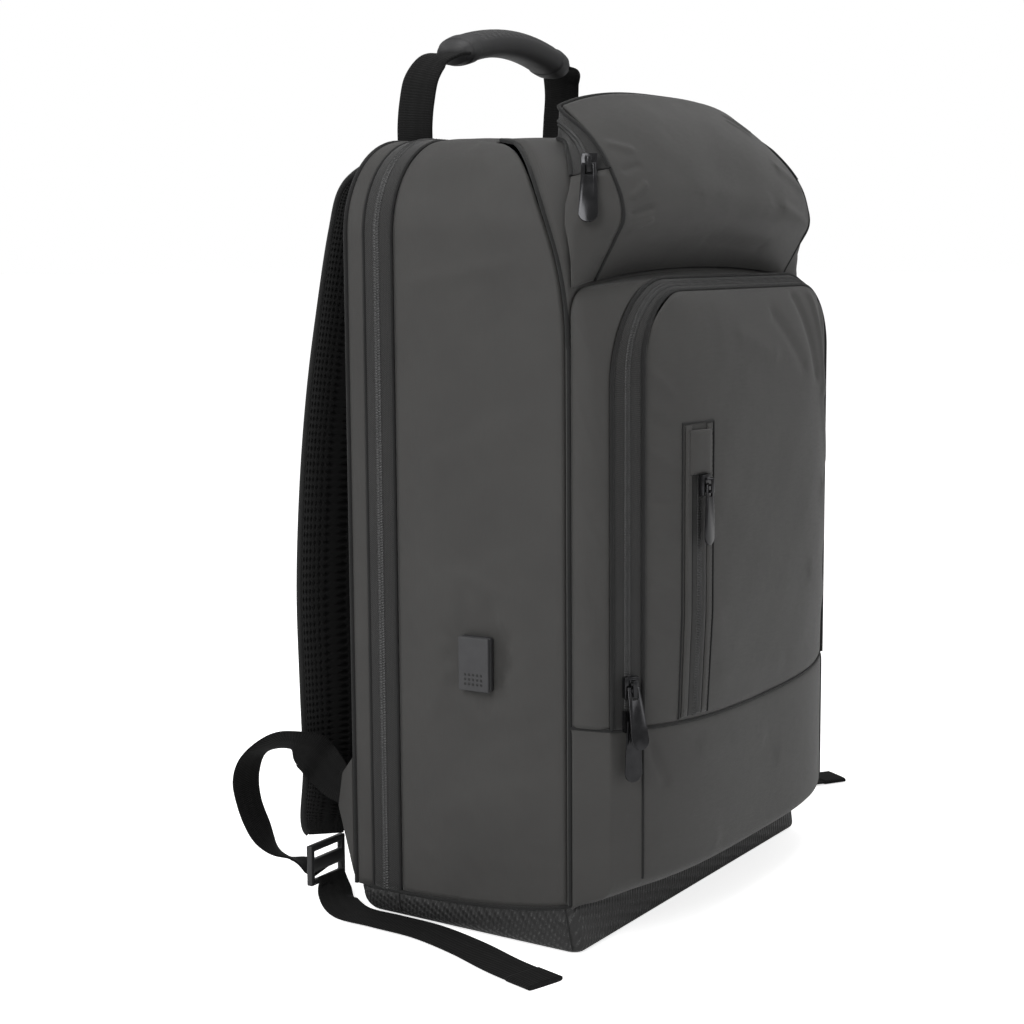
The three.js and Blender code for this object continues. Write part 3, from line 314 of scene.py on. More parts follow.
def knit(tree, kind, *inputs, **settings):
    """A node with its settings and its inputs, each a number or another node's output."""
    node = tree.nodes.new(kind)
    for key, value in settings.items():
        setattr(node, key, value)
    for key, value in enumerate(inputs):
        if value is None:
            continue
        if isinstance(value, bpy.types.NodeSocket):
            tree.links.new(value, node.inputs[key])
        else:
            node.inputs[key].default_value = value
    return node


def sums(tree, operation, a, b=None, c=None):
    return knit(tree, "ShaderNodeMath", a, b, c, operation=operation).outputs[0]


def effect(name, inputs, outputs):
    """An empty node group with named inputs and outputs: its tree, its input node, its output node."""
    tree = bpy.data.node_groups.new(name, "ShaderNodeTree")
    for key, kind, value in inputs:
        port = tree.interface.new_socket(name=key, in_out="INPUT", socket_type=kind)
        port.default_value = value
    for key, kind in outputs:
        tree.interface.new_socket(name=key, in_out="OUTPUT", socket_type=kind)
    return tree, tree.nodes.new("NodeGroupInput"), tree.nodes.new("NodeGroupOutput")


FLOAT, COLOUR = "NodeSocketFloat", "NodeSocketColor"

# Plain weave: threads across and along, uneven from thread to thread
weave, weave_in, weave_out = effect(
    "plain_weave",
    [("Thread", FLOAT, 0.0007), ("Unevenness", FLOAT, 0.4)],
    [("Height", FLOAT), ("Mask", FLOAT)],
)
uv = knit(weave, "ShaderNodeUVMap").outputs[0]
parts = knit(weave, "ShaderNodeSeparateXYZ", uv).outputs
turns = [sums(weave, "DIVIDE", parts[k], weave_in.outputs["Thread"]) for k in (0, 1)]
waves = [sums(weave, "SINE", sums(weave, "MULTIPLY", t, 2 * pi)) for t in turns]
cross = sums(weave, "MULTIPLY", waves[0], waves[1])
slub = knit(weave, "ShaderNodeTexNoise", None, None, 900.0, 2.0, 0.5)
stretch = knit(weave, "ShaderNodeMapping", uv)
stretch.inputs["Scale"].default_value = (0.12, 1, 1)
weave.links.new(stretch.outputs[0], slub.inputs["Vector"])
uneven = sums(weave, "MULTIPLY", slub.outputs[0], weave_in.outputs["Unevenness"])
weave.links.new(sums(weave, "ADD", sums(weave, "MULTIPLY", cross, 0.5), uneven), weave_out.inputs["Height"])
weave.links.new(slub.outputs[0], weave_out.inputs["Mask"])

# Handling marks: low rumples and rubbed, slightly paler places
wear, wear_in, wear_out = effect(
    "handling", [("Size", FLOAT, 0.05)], [("Rumple", FLOAT), ("Rubbed", FLOAT)]
)
place = knit(wear, "ShaderNodeTexCoord").outputs["Object"]
scale = sums(wear, "DIVIDE", 1.0, wear_in.outputs["Size"])
broad = knit(wear, "ShaderNodeTexNoise", place, None, scale, 3.0, 0.55)
fine = knit(wear, "ShaderNodeTexNoise", place, None, sums(wear, "MULTIPLY", scale, 5.0), 2.0, 0.6)
uneven = sums(wear, "ADD", broad.outputs[0], sums(wear, "MULTIPLY", fine.outputs[0], 0.22))
wear.links.new(uneven, wear_out.inputs["Rumple"])
rubbed = sums(wear, "SMOOTH_MAX", sums(wear, "SUBTRACT", broad.outputs[0], 0.45), 0.0, 0.1)
wear.links.new(rubbed, wear_out.inputs["Rubbed"])


def group_node(tree, group, **values):
    node = tree.nodes.new("ShaderNodeGroup")
    node.node_tree = group
    for key, value in values.items():
        node.inputs[key.replace("_", " ")].default_value = value
    return node


def blended(tree, share, low, high):
    """Colour between low and high by a share that varies over the surface."""
    node = tree.nodes.new("ShaderNodeMix")
    node.data_type = "RGBA"
    tree.links.new(share, node.inputs["Factor"])
    node.inputs["A"].default_value = (*low, 1)
    node.inputs["B"].default_value = (*high, 1)
    return node.outputs["Result"]


def bump(tree, height, depth, strength=1.0, under=None):
    node = tree.nodes.new("ShaderNodeBump")
    node.inputs["Strength"].default_value = strength
    node.inputs["Distance"].default_value = depth
    tree.links.new(height, node.inputs["Height"])
    if under is not None:
        tree.links.new(under, node.inputs["Normal"])
    return node.outputs["Normal"]


def ranged(tree, value, low, high):
    node = tree.nodes.new("ShaderNodeMapRange")
    tree.links.new(value, node.inputs["Value"])
    node.inputs["To Min"].default_value = low
    node.inputs["To Max"].default_value = high
    return node.outputs["Result"]


def finish(name, roughness, sheen=0.0, specular=0.5, metallic=0.0, coat=0.0):
    """A new material, its tree and its shader, whose plain numbers sit on the shader."""
    material = bpy.data.materials.new(name)
    material.use_nodes = True
    tree = material.node_tree
    shader = tree.nodes["Principled BSDF"]
    shader.inputs["Roughness"].default_value = roughness
    shader.inputs["Specular IOR Level"].default_value = specular
    shader.inputs["Metallic"].default_value = metallic
    shader.inputs["Sheen Weight"].default_value = sheen
    shader.inputs["Sheen Roughness"].default_value = 0.45
    shader.inputs["Coat Weight"].default_value = coat
    return material, tree, shader


def woven(name, low, high, thread, depth, roughness, sheen, specular=0.35, rumple_depth=0.0009):
    """Cloth of a plain weave with handling marks."""
    material, tree, shader = finish(name, roughness, sheen, specular)
    threads = group_node(tree, weave, Thread=thread)
    marks = group_node(tree, wear, Size=0.045)
    tree.links.new(blended(tree, marks.outputs["Rumple"], low, high), shader.inputs["Base Color"])
    swell = bump(tree, marks.outputs["Rumple"], rumple_depth, 0.6)
    tree.links.new(bump(tree, threads.outputs["Height"], depth, 0.55, swell), shader.inputs["Normal"])
    matt = ranged(tree, threads.outputs["Mask"], roughness - 0.07, roughness + 0.08)
    tree.links.new(matt, shader.inputs["Roughness"])
    return material


def mottled(tree, shader, size, low, high):
    """Gives a shader a colour that varies with the handling marks, and returns the marks."""
    marks = group_node(tree, wear, Size=size).outputs["Rumple"]
    tree.links.new(blended(tree, marks, low, high), shader.inputs["Base Color"])
    return marks


CHARCOAL_DARK = (0.030, 0.029, 0.028)
CHARCOAL_LIGHT = (0.041, 0.040, 0.038)
charcoal = woven("charcoal_cloth", CHARCOAL_DARK, CHARCOAL_LIGHT, 0.0008, 0.00012, 0.56, 0.10, 0.3)
side_cloth.data.materials.append(charcoal)

# Yoke cloth
# The sloping shoulder between the side's front seam and the top box, in the same cloth. Its lower
# part is the wall behind the front compartment.
YOKE_KNEE = 0.42


def fullness_at(u):
    return 2 + 3.2 * (1 - np.abs(u) ** 12)


def yoke_spot(u, v):
    w = 2 * u - 1
    low = np.clip(v / YOKE_KNEE, 0, 1)
    turn = np.clip((v - YOKE_KNEE) / (1 - YOKE_KNEE), 0, 1) * pi / 2
    full = fullness_at(w)
    over = SHOULDER_Z + SHOULDER_HEIGHT * np.sin(turn) ** (2 / full)
    z = np.where(turn > 0, over, FOOT + (SHOULDER_Z - FOOT) * low)
    y = np.where(turn > 0, SHOULDER_Y - SHOULDER_DEPTH * np.cos(turn) ** (2 / full), FRONT)
    edge = 1 - np.abs(w) ** 30
    folds = 0.5 * rumple(w * 130, z, 16, 0.7) + creases(np.abs(w) * HALF, z, YOKE_FOLDS)
    puff = soft(turn, 0.2, 0.7) * edge * folds
    return w * half_at(z, HALF, TOP, CORNER), y - puff * np.cos(turn), z + puff * np.sin(turn)


YOKE_FOLDS = [
    # x from the middle and z of both ends, half width, height, in mm
    (100, 452, 132, 428, 5, 1.3),
    (118, 446, 138, 410, 4, -1.0),
    (84, 456, 120, 448, 4, 1.0),
]
yoke_cloth = panel("yoke_cloth", 150, 90, yoke_spot, (298, 520), (0, 40, 120))
worn_by(yoke_cloth, "cloth", "yoke_wall")
yoke_cloth.data.materials.append(charcoal)

# Main zip
# A coil zip on twill tapes opens the pack round its back. The tapes are sewn in between two
# narrow black pipings, and the coil stands proud down their middle.
ZIP_RISE = 0.8
TEETH = 1.5
CHAIN = 4.6


def band_spot(y0, y1, rise, drop=0.0):
    def at(u, v):
        x, z, nx, nz = arch(u, HALF, TOP, CORNER, FOOT, (0.337, 0.415))
        y = y0 + (y1 - y0) * v
        out = rise * (1 - (2 * v - 1) ** 2) - drop
        return x + nx * out, y, footed(z, y) + nz * out
    return at


def coil_spot(line, across, length, proud=1.3):
    """Two rows of teeth on a band's middle line, each row half a tooth from the other."""
    def at(u, v):
        x, y, z = line(u, 0.5 + (v - 0.5) * 0)
        ahead = line(np.clip(u + 0.002, 0, 1), 0.5 + 0 * v)
        behind = line(np.clip(u - 0.002, 0, 1), 0.5 + 0 * v)
        along = np.stack([a - b for a, b in zip(ahead, behind)], axis=1)
        along /= np.linalg.norm(along, axis=1, keepdims=True) + 1e-9
        one = line(u, 0.5 + 0 * v - 0.05)
        two = line(u, 0.5 + 0 * v + 0.05)
        side = np.stack([b - a for a, b in zip(one, two)], axis=1)
        side /= np.linalg.norm(side, axis=1, keepdims=True) + 1e-9
        out = np.cross(side, along)
        out *= np.sign((out * across(x, y, z)).sum(axis=1))[:, None]
        w = (v - 0.5) * 2
        wave = np.sin(2 * pi * u * length / TEETH + np.where(w > 0, pi, 0.0))
        crown = proud * (0.55 + 0.45 * wave) * (1 - w**4) * (0.35 + 0.65 * soft(np.abs(w), 0, 0.25)) - 0.15
        spot = np.stack([x, y, z], axis=1) + side * (w * CHAIN / 2)[:, None] + out * crown[:, None]
        return spot[:, 0], spot[:, 1], spot[:, 2]
    return at


def body_out(x, y, z):
    return np.stack([x, 0 * x, z - 230], axis=1)


ARCH_LENGTH = 1108
BODY_HEART = (0, 0, 230)
tape_spot = band_spot(ZIP_FRONT - 0.3, ZIP_REAR - 0.3, ZIP_RISE)
main_tape = panel("main_zip_tape", 260, 12, tape_spot, (ARCH_LENGTH, 19), BODY_HEART, 1.2)
worn_by(main_tape, "zip", "main_zip")
teeth_spot = coil_spot(band_spot(ZIP_FRONT, ZIP_REAR, ZIP_RISE), body_out, ARCH_LENGTH)
main_coil = panel("main_zip_coil", 2600, 10, teeth_spot, (ARCH_LENGTH, 5), BODY_HEART, 0.5)
worn_by(main_coil, "zip")


def rope(name, spots, radius, sides=3, closed=False):
    """A thin round cord sewn along a line of spots in mm, made a mesh."""
    line = bpy.data.curves.new(name, "CURVE")
    line.dimensions = "3D"
    line.bevel_depth = radius * MM
    line.bevel_resolution = sides
    line.use_fill_caps = True
    spline = line.splines.new("POLY")
    spline.points.add(len(spots) - 1)
    for point, spot in zip(spline.points, spots):
        point.co = (*(Vector(spot) * MM + MIDDLE), 1)
    spline.use_cyclic_u = closed
    cord = bpy.data.objects.new(name, line)
    bpy.context.collection.objects.link(cord)
    bpy.ops.object.select_all(action="DESELECT")
    cord.select_set(True)
    bpy.context.view_layer.objects.active = cord
    bpy.ops.object.convert(target="MESH")
    cord = bpy.context.object
    cord.data.shade_smooth()
    return cord


def along(at, v, count=240, u0=0.0, u1=1.0):
    """Spots on a surface along one of its lines."""
    u = np.linspace(u0, u1, count)
    return [tuple(map(float, s)) for s in np.stack([c + 0 * u for c in at(u, v + 0 * u)], axis=1)]


def joined(name, pieces):
    bpy.ops.object.select_all(action="DESELECT")
    for piece in pieces:
        piece.select_set(True)
    bpy.context.view_layer.objects.active = pieces[0]
    if len(pieces) > 1:
        bpy.ops.object.join()
    pieces[0].name = name
    return pieces[0]


main_piping = joined("main_zip_piping", [
    rope(f"main_piping_{k}", along(band_spot(y, y + 1, 0.0, 0.3), 0.0, 300), 1.1)
    for k, y in enumerate((ZIP_FRONT - 0.4, ZIP_REAR - 0.3))
])
worn_by(main_piping, "zip")

# Twill: fine diagonal ribs
twill, twill_in, twill_out = effect(
    "twill", [("Rib", FLOAT, 0.001), ("Slope", FLOAT, 1.0)], [("Height", FLOAT)]
)


def waves_of(tree, distance, pitch, turn=2 * pi):
    """Sine waves along a distance, one to each pitch for a whole turn."""
    return sums(tree, "SINE", sums(tree, "MULTIPLY", sums(tree, "DIVIDE", distance, pitch), turn))


parts = knit(twill, "ShaderNodeSeparateXYZ", knit(twill, "ShaderNodeUVMap").outputs[0]).outputs
slant = sums(twill, "ADD", parts[0], sums(twill, "MULTIPLY", parts[1], twill_in.outputs["Slope"]))
rib = waves_of(twill, slant, twill_in.outputs["Rib"])
yarn = waves_of(twill, parts[1], twill_in.outputs["Rib"], 7.0)
twill.links.new(sums(twill, "ADD", rib, sums(twill, "MULTIPLY", yarn, 0.4)), twill_out.inputs["Height"])


def ribbed(name, low, high, rib, slope, depth, roughness, sheen=0.2, specular=0.3):
    material, tree, shader = finish(name, roughness, sheen, specular)
    ribs = group_node(tree, twill, Rib=rib, Slope=slope)
    marks = group_node(tree, wear, Size=0.03)
    height = ranged(tree, ribs.outputs["Height"], 0.0, 1.0)
    # The rib crowns are painted lighter and the grooves darker: painted light and painted shade. The handling
    # marks vary the colour at random as well.
    rib_light_and_shade = sums(tree, "MULTIPLY", sums(tree, "ADD", ribs.outputs["Height"], 1.4), 0.36)
    rib_shade_and_marks = sums(tree, "MULTIPLY", rib_light_and_shade, marks.outputs["Rumple"])
    tree.links.new(blended(tree, rib_shade_and_marks, low, high), shader.inputs["Base Color"])
    tree.links.new(bump(tree, height, depth, 0.8), shader.inputs["Normal"])
    return material


def grey(value):
    return (value, value, value)


tape_black = ribbed("zip_tape_twill", grey(0.009), CHARCOAL_DARK, 0.0011, 0.7, 0.0002, 0.7)
coil_black, tree, shader = finish("zip_coil_nylon", 0.42, 0.0, 0.5)
mottled(tree, shader, 0.01, grey(0.012), grey(0.030))
piping_black = woven("piping_black", grey(0.008), grey(0.017), 0.0006, 0.0001, 0.8, 0.1, 0.2)
main_tape.data.materials.append(tape_black)
main_coil.data.materials.append(coil_black)
main_piping.data.materials.append(piping_black)

# Rear strip and back panel
# A narrow strip of the charcoal cloth behind the zip, and the flat back panel under the pads,
# covered in black spacer mesh.
strip_spot = band_spot(ZIP_REAR + 0.3, REAR - 2.4, 0.7)
rear_cloth = panel("rear_strip_cloth", 260, 10, strip_spot, (ARCH_LENGTH, 14), BODY_HEART)
worn_by(rear_cloth, "cloth", "rear_strip")
rear_cloth.data.materials.append(charcoal)


def back_spot(u, v):
    z = BOOT_REAR_TOP + SEAM + (TOP - CORNER - BOOT_REAR_TOP - SEAM) * np.clip(v / 0.85, 0, 1)
    turn = np.clip((v - 0.85) / 0.15, 0, 1) * pi / 2
    z = z + CORNER * np.sin(turn) * 0.995
    w = 2 * u - 1
    edge = 2 * np.exp(-(1 - np.abs(w)) * 60)
    return w * half_at(z, HALF, TOP, CORNER), REAR - edge * 0.4, z


back_cloth = panel("back_panel_mesh", 90, 120, back_spot, (298, 438), (0, -200, 230), 2)
worn_by(back_cloth, "mesh", "back_panel")
back_piping = rope("back_panel_piping", along(band_spot(REAR - 1.6, REAR, 0.0, 0.2), 0.0, 260), 1.5)
worn_by(back_piping, "webbing")
back_piping.data.materials.append(piping_black)

# Spacer mesh: small diamond holes between knitted bars
net, net_in, net_out = effect("spacer_net", [("Cell", FLOAT, 0.004)], [("Height", FLOAT), ("Hole", FLOAT)])
parts = knit(net, "ShaderNodeSeparateXYZ", knit(net, "ShaderNodeUVMap").outputs[0]).outputs
lift = sums(net, "MULTIPLY", parts[1], 0.7)
one = waves_of(net, sums(net, "ADD", parts[0], lift), net_in.outputs["Cell"])
two = waves_of(net, sums(net, "SUBTRACT", parts[0], lift), net_in.outputs["Cell"])
cell = sums(net, "MULTIPLY", one, two)
hole = sums(net, "SMOOTH_MAX", sums(net, "MULTIPLY", cell, 1.4), 0.0, 0.3)
net.links.new(sums(net, "SUBTRACT", 1.0, hole), net_out.inputs["Height"])
net.links.new(hole, net_out.inputs["Hole"])

spacer, tree, shader = finish("spacer_mesh", 0.9, 0.03, 0.12)
cells = group_node(tree, net, Cell=0.0062)
# The diamond holes are painted near-black: painted shade in the mesh's recesses.
tree.links.new(blended(tree, cells.outputs["Hole"], grey(0.013), grey(0.0008)), shader.inputs["Base Color"])
tree.links.new(bump(tree, cells.outputs["Height"], 0.0012, 1.0), shader.inputs["Normal"])
back_cloth.data.materials.append(spacer)

# Back pads
# Four foam cushions under spacer mesh, sewn flat to the back panel round their edges.
for node in ("back_pad_top", "back_pad_upper", "back_pad_lower", "back_pad_base"):
    low, high = ((corner - MIDDLE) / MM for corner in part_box(node))
    depth = high.y - low.y

    def pad_spot(u, v, low=low, high=high, depth=depth):
        a, b = 2 * u - 1, 2 * v - 1
        pinch = 0.05 * a * a * b * b
        x = (low.x + high.x) / 2 + (high.x - low.x) / 2 * a * (1 - pinch)
        z = (low.z + high.z) / 2 + (high.z - low.z) / 2 * b * (1 - pinch)
        dome = np.sqrt(np.maximum(1 - np.abs(a) ** 7, 0)) * np.sqrt(np.maximum(1 - np.abs(b) ** 3.4, 0))
        soft_form = depth * dome + 0.5 * rumple(x, z, 22, 0.3) * dome
        return x, low.y + 0.3 + soft_form * 0.97, z

    cut = (high.x - low.x, high.z - low.z + 20)
    pad = panel(f"{node}_cushion", 110, 40, pad_spot, cut, (0, -60, (low.z + high.z) / 2), 1.2)
    worn_by(pad, "mesh", node)
    pad.data.materials.append(spacer)

# Base boot
# A shallow tray of coarse coated nylon that the pack stands on, sewn to the side cloth under a
# narrow black binding.
BOOT_ROUND = 12.0
BOOT_FRONT_ROUND = 5.0
BOOT_CORNER = 14.0
BOOT_FRONT_CORNER = 9.0
BOOT_FLARE = 6.0
BOOT_LENGTH = 880

outline = []
for sx, sy, start in ((1, -1, -90), (1, 1, 0), (-1, 1, 90), (-1, -1, 180)):
    radius = BOOT_FRONT_CORNER if sy < 0 else BOOT_CORNER
    for turn in np.radians(start + np.linspace(0, 90, 13)):
        corner = (sx * (HALF - radius), sy * (REAR - radius))
        outline.append((corner[0] + radius * cos(turn), corner[1] + radius * sin(turn), cos(turn), sin(turn)))
outline = np.array([*outline, outline[0]])
outline_far = np.concatenate([[0], np.cumsum(np.hypot(*np.diff(outline[:, :2], axis=0).T))])
outline_far /= outline_far[-1]


def boot_spot(u, v):
    """u runs round the tray, v from the middle of its underside out and up to its edge."""
    x, y, nx, ny = (np.interp(u, outline_far, outline[:, k]) for k in range(4))
    round_edge = BOOT_FRONT_ROUND + (BOOT_ROUND - BOOT_FRONT_ROUND) * (y - FRONT) / (REAR - FRONT)
    under = np.clip(v / 0.35, 0, 1)
    curl = np.clip((v - 0.35) / 0.25, 0, 1) * pi / 2
    wall = np.clip((v - 0.6) / 0.4, 0, 1)
    top = boot_top(y)
    z = round_edge * (1 - np.cos(curl)) + (top - round_edge) * wall
    out = 0.5 * np.sin(pi * wall) * (1 + rumple(x + y, z, 30)) - round_edge * (1 - np.sin(curl))
    flare = BOOT_FLARE * np.maximum(0, y / FRONT) * (1 - z / BOOT_TOP)
    return (x + out * nx) * under, (y + out * ny - flare) * under, z


boot_cloth = panel("base_boot_cloth", 420, 40, boot_spot, (BOOT_LENGTH, 110), (0, 0, 60), 1.6)
worn_by(boot_cloth, "boot", "base_boot")
boot_binding = rope("base_boot_binding", along(boot_spot, 1.0, 400, 0.0, 0.9975), 1.1, closed=True)
worn_by(boot_binding, "webbing")
boot_binding.data.materials.append(piping_black)


def boot_seam(name, x, y):
    """A seam down the tray's wall, at a corner or where its straight side passes y."""
    t = outline_far[np.argmin(np.hypot(outline[:, 0] - x, outline[:, 1] - y))]
    if FRONT + BOOT_FRONT_CORNER < y < REAR - BOOT_CORNER:
        passes = np.diff(np.sign(outline[:, 1] - y)) * (outline[:-1, 0] * x > 0)
        k = np.flatnonzero(passes)[0]
        part = (y - outline[k, 1]) / (outline[k + 1, 1] - outline[k, 1])
        t = outline_far[k] + part * (outline_far[k + 1] - outline_far[k])
    return rope(name, along(lambda u, v: boot_spot(t + 0 * u, u), 0.0, 30, 0.52, 0.99), 0.7)


boot_seams = joined("base_boot_seams", [
    boot_seam(f"boot_seam_{k}", side * HALF, y)
    for k, (side, y) in enumerate(((-1, FRONT + 3), (1, FRONT + 3), (-1, ZIP_FRONT), (1, ZIP_FRONT)))
])
worn_by(boot_seams, "webbing")
boot_seams.data.materials.append(piping_black)

# Basket weave of heavy yarn with pale flecks on some of its crowns: painted glints of light on the yarn
basket, basket_in, basket_out = effect(
    "basket_weave", [("Yarn", FLOAT, 0.002)], [("Height", FLOAT), ("Glint", FLOAT)]
)
spot = knit(basket, "ShaderNodeTexCoord").outputs["Object"]
slanted = knit(basket, "ShaderNodeMapping", spot)
slanted.inputs["Rotation"].default_value = (radians(38), radians(38), 0)
parts = knit(basket, "ShaderNodeSeparateXYZ", slanted.outputs[0]).outputs
across = waves_of(basket, sums(basket, "ADD", parts[0], parts[1]), basket_in.outputs["Yarn"], pi)
upward = waves_of(basket, parts[2], basket_in.outputs["Yarn"], pi)
check = sums(basket, "MULTIPLY", across, upward)
grain = knit(basket, "ShaderNodeTexNoise", spot, None, 1400.0, 1.0, 0.5)
basket.links.new(check, basket_out.inputs["Height"])
crown = sums(basket, "GREATER_THAN", check, 0.45)
crown_glint = sums(basket, "MULTIPLY", crown, sums(basket, "GREATER_THAN", grain.outputs[0], 0.54))
basket.links.new(crown_glint, basket_out.inputs["Glint"])

ballistic, tree, shader = finish("ballistic_nylon", 0.55, 0.05, 0.4)
yarns = group_node(tree, basket, Yarn=0.0022)
# The pale flecks on the yarn crowns are painted glints.
tree.links.new(blended(tree, yarns.outputs["Glint"], grey(0.014), grey(0.060)), shader.inputs["Base Color"])
tree.links.new(bump(tree, yarns.outputs["Height"], 0.0004, 0.9), shader.inputs["Normal"])
boot_cloth.data.materials.append(ballistic)

# Front compartment: flank and zip
# A gusset of cloth runs up, over and down round the front compartment, out to a coil zip that
# stands on its edge.
LOWER_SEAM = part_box("lower_front")[1].z / MM
RIM = dict(half=HALF, top=371.0, radius=14.0)
ZIP_RIM = dict(half=HALF - 8, top=377.0, radius=60.0)
FACE_RIM = dict(half=HALF - 26, top=370.0, radius=40.0)
RIM_Y = FRONT - 1.4
ZIP_RIM_Y = FRONT - 22
FACE_RIM_Y = FRONT - 32
NOTCH_RISE = 9.0
RING_KNEE = (0.29, 0.40)


def seam_at(x):
    """Height of the seam across the front, which sags between the corners."""
    return LOWER_SEAM + 2.5 - 5.5 * (1 - (x / HALF) ** 2)


def ring_spot(outer, outer_y, inner, inner_y, rise, swell, v0=0.0, v1=1.0, tuck=0.0, life=0.0):
    def at(u, v):
        ax, az, _, _ = arch(u, foot=seam_at(outer["half"]) + SEAM, knee=RING_KNEE, **outer)
        bx, bz, _, _ = arch(u, foot=seam_at(inner["half"]) + SEAM, knee=RING_KNEE, **inner)
        high = np.clip((az - LOWER_SEAM) / (outer["top"] - LOWER_SEAM), 0, 1)
        az = az + rise * (1 - (ax / outer["half"]) ** 2) * high**8
        w = v0 + (v1 - v0) * v
        puckers = life * rumple(az + ax, w * 22, 9, 0.8) * soft(np.minimum(v, 1 - v), 0, 0.3)
        bulge = swell * 4 * w * (1 - w) + puckers
        bulge = bulge - tuck * (np.exp(-v * 22 / 2.0) + np.exp(-(1 - v) * 22 / 2.0))
        x, z = ax + (bx - ax) * w, az + (bz - az) * w
        sideways = np.abs(x) / outer["half"]
        x = x + np.sign(x) * bulge * sideways**4
        return x, outer_y + (inner_y - outer_y) * w - bulge * 0.4, z
    return at


flank_spot = ring_spot(RIM, RIM_Y, ZIP_RIM, ZIP_RIM_Y, NOTCH_RISE, 2, 0, 0.97, 0.8, 0.5)
flank_cloth = panel("flank_cloth", 300, 22, flank_spot, (760, 22), BODY_HEART)
worn_by(flank_cloth, "cloth", "front_flank")
flank_cloth.data.materials.append(charcoal)
front_ring = ring_spot(ZIP_RIM, ZIP_RIM_Y, FACE_RIM, FACE_RIM_Y, 0, 1, 0.04, 0.96)
front_tape = panel("front_zip_tape", 240, 10, front_ring, (700, 21), (0, 0, 230), 1.2)
worn_by(front_tape, "zip", "front_zip")
front_tape.data.materials.append(tape_black)


def front_out(x, y, z):
    return np.stack([x * 0.6, -100 + 0 * x, (z - 240) * 0.6], axis=1)


teeth_spot = coil_spot(front_ring, front_out, 700)
front_coil = panel("front_zip_coil", 1800, 10, teeth_spot, (700, 5), BODY_HEART, 0.5)
worn_by(front_coil, "zip")
front_coil.data.materials.append(coil_black)
front_piping = joined("front_zip_piping", [
    rope("front_piping_outer", along(front_ring, -0.02, 260), 1.2),
    rope("front_piping_inner", along(front_ring, 1.03, 260), 1.5),
])
worn_by(front_piping, "zip")
front_piping.data.materials.append(piping_black)

# Front face
# The charcoal panel of the front compartment swells between its seams, puckers beside its left
# seam and folds softly towards its top right corner.
FACE_BULGE = 18.0
FACE_FOLDS = [
    # x and z of both ends, half width, height, in mm
    (-121, 326, -103, 314, 3.5, 1.1),
    (-121, 300, -98, 292, 3.5, -1.1),
    (-121, 282, -94, 270, 3.5, 1.2),
    (-121, 256, -98, 250, 3.2, -1.0),
    (-121, 236, -96, 226, 3.4, 1.1),
    (-121, 210, -99, 205, 3.2, 0.9),
    (-121, 186, -98, 176, 3.6, -0.9),
    (-60, 148, 20, 140, 9, 0.7),
    (20, 352, 52, 322, 6, -1.3),
    (58, 362, 78, 316, 6, -1.9),
    (84, 364, 96, 306, 5, 1.8),
    (104, 358, 108, 292, 6, -1.8),
    (92, 300, 116, 258, 7, 1.4),
    (96, 240, 118, 208, 8, 1.2),
    (-30, 342, 10, 330, 7, 0.9),
    (70, 190, 112, 170, 9, 0.9),
]
SLIT_X = ((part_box("slit_tape")[0].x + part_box("slit_tape")[1].x) / 2 - MIDDLE.x) / MM
SLIT_WIDTH = 24.0


def face_crown(x, z):
    across = 1 - np.abs(x / FACE_RIM["half"]) ** 3.6
    share = (z - LOWER_SEAM) / (FACE_RIM["top"] - LOWER_SEAM)
    up = np.clip((1 - share) / 0.28, 0, 1)
    down = 0.8 + 0.2 * np.clip(share / 0.25, 0, 1)
    return FACE_BULGE * np.maximum(across, 0) * np.sqrt(np.maximum(1 - (1 - up) ** 2, 0)) * down


def face_y(x, z, life=1.0):
    edge_x = (FACE_RIM["half"] - np.abs(x)) / 8
    beside_slit = 1 - np.exp(-(((x - SLIT_X) / SLIT_WIDTH) ** 6))
    calm = soft(edge_x, 0, 1) * soft(FACE_RIM["top"] - z, 0, 8) * beside_slit
    relief = creases(x, z, FACE_FOLDS) + 0.35 * rumple(x, z, 30, 1.1)
    return FACE_RIM_Y - face_crown(x, z) - life * calm * relief


def face_spot(u, v):
    spring = FACE_RIM["top"] - SEAM - FACE_RIM["radius"]
    foot = seam_at((2 * u - 1) * FACE_RIM["half"]) + SEAM
    z = foot + (spring - foot) * np.clip(v / 0.8, 0, 1)
    z = z + FACE_RIM["radius"] * np.sin(np.clip((v - 0.8) / 0.2, 0, 1) * pi / 2)
    x = (2 * u - 1) * half_at(z, FACE_RIM["half"] - SEAM, FACE_RIM["top"] - SEAM, FACE_RIM["radius"])
    near = np.minimum((1 - np.abs(2 * u - 1)) * 122, (1 - v) * 245)
    return x, face_y(x, z) + 1.2 * np.exp(-near / 1.8) + 1.0 * np.exp(-v * 245 / 1.5), z


front_cloth = panel("front_face_cloth", 180, 170, face_spot, (245, 250), (0, 300, 240))
worn_by(front_cloth, "cloth", "front_face")
front_cloth.data.materials.append(charcoal)

# Lower front
# One cloth round the foot of the compartment, from side to side, its lower edge rolled under
# above the boot.
LOWER_FOOT = 33.0
LOWER_ROUND = 12.0
LOWER_FOLDS = [
    (-119, 118, -108, 96, 4, -0.9),
    (-70, 108, 0, 98, 8, 0.6),
    (30, 80, 96, 66, 9, 0.7),
    (-110, 62, -60, 50, 7, 0.8),
]


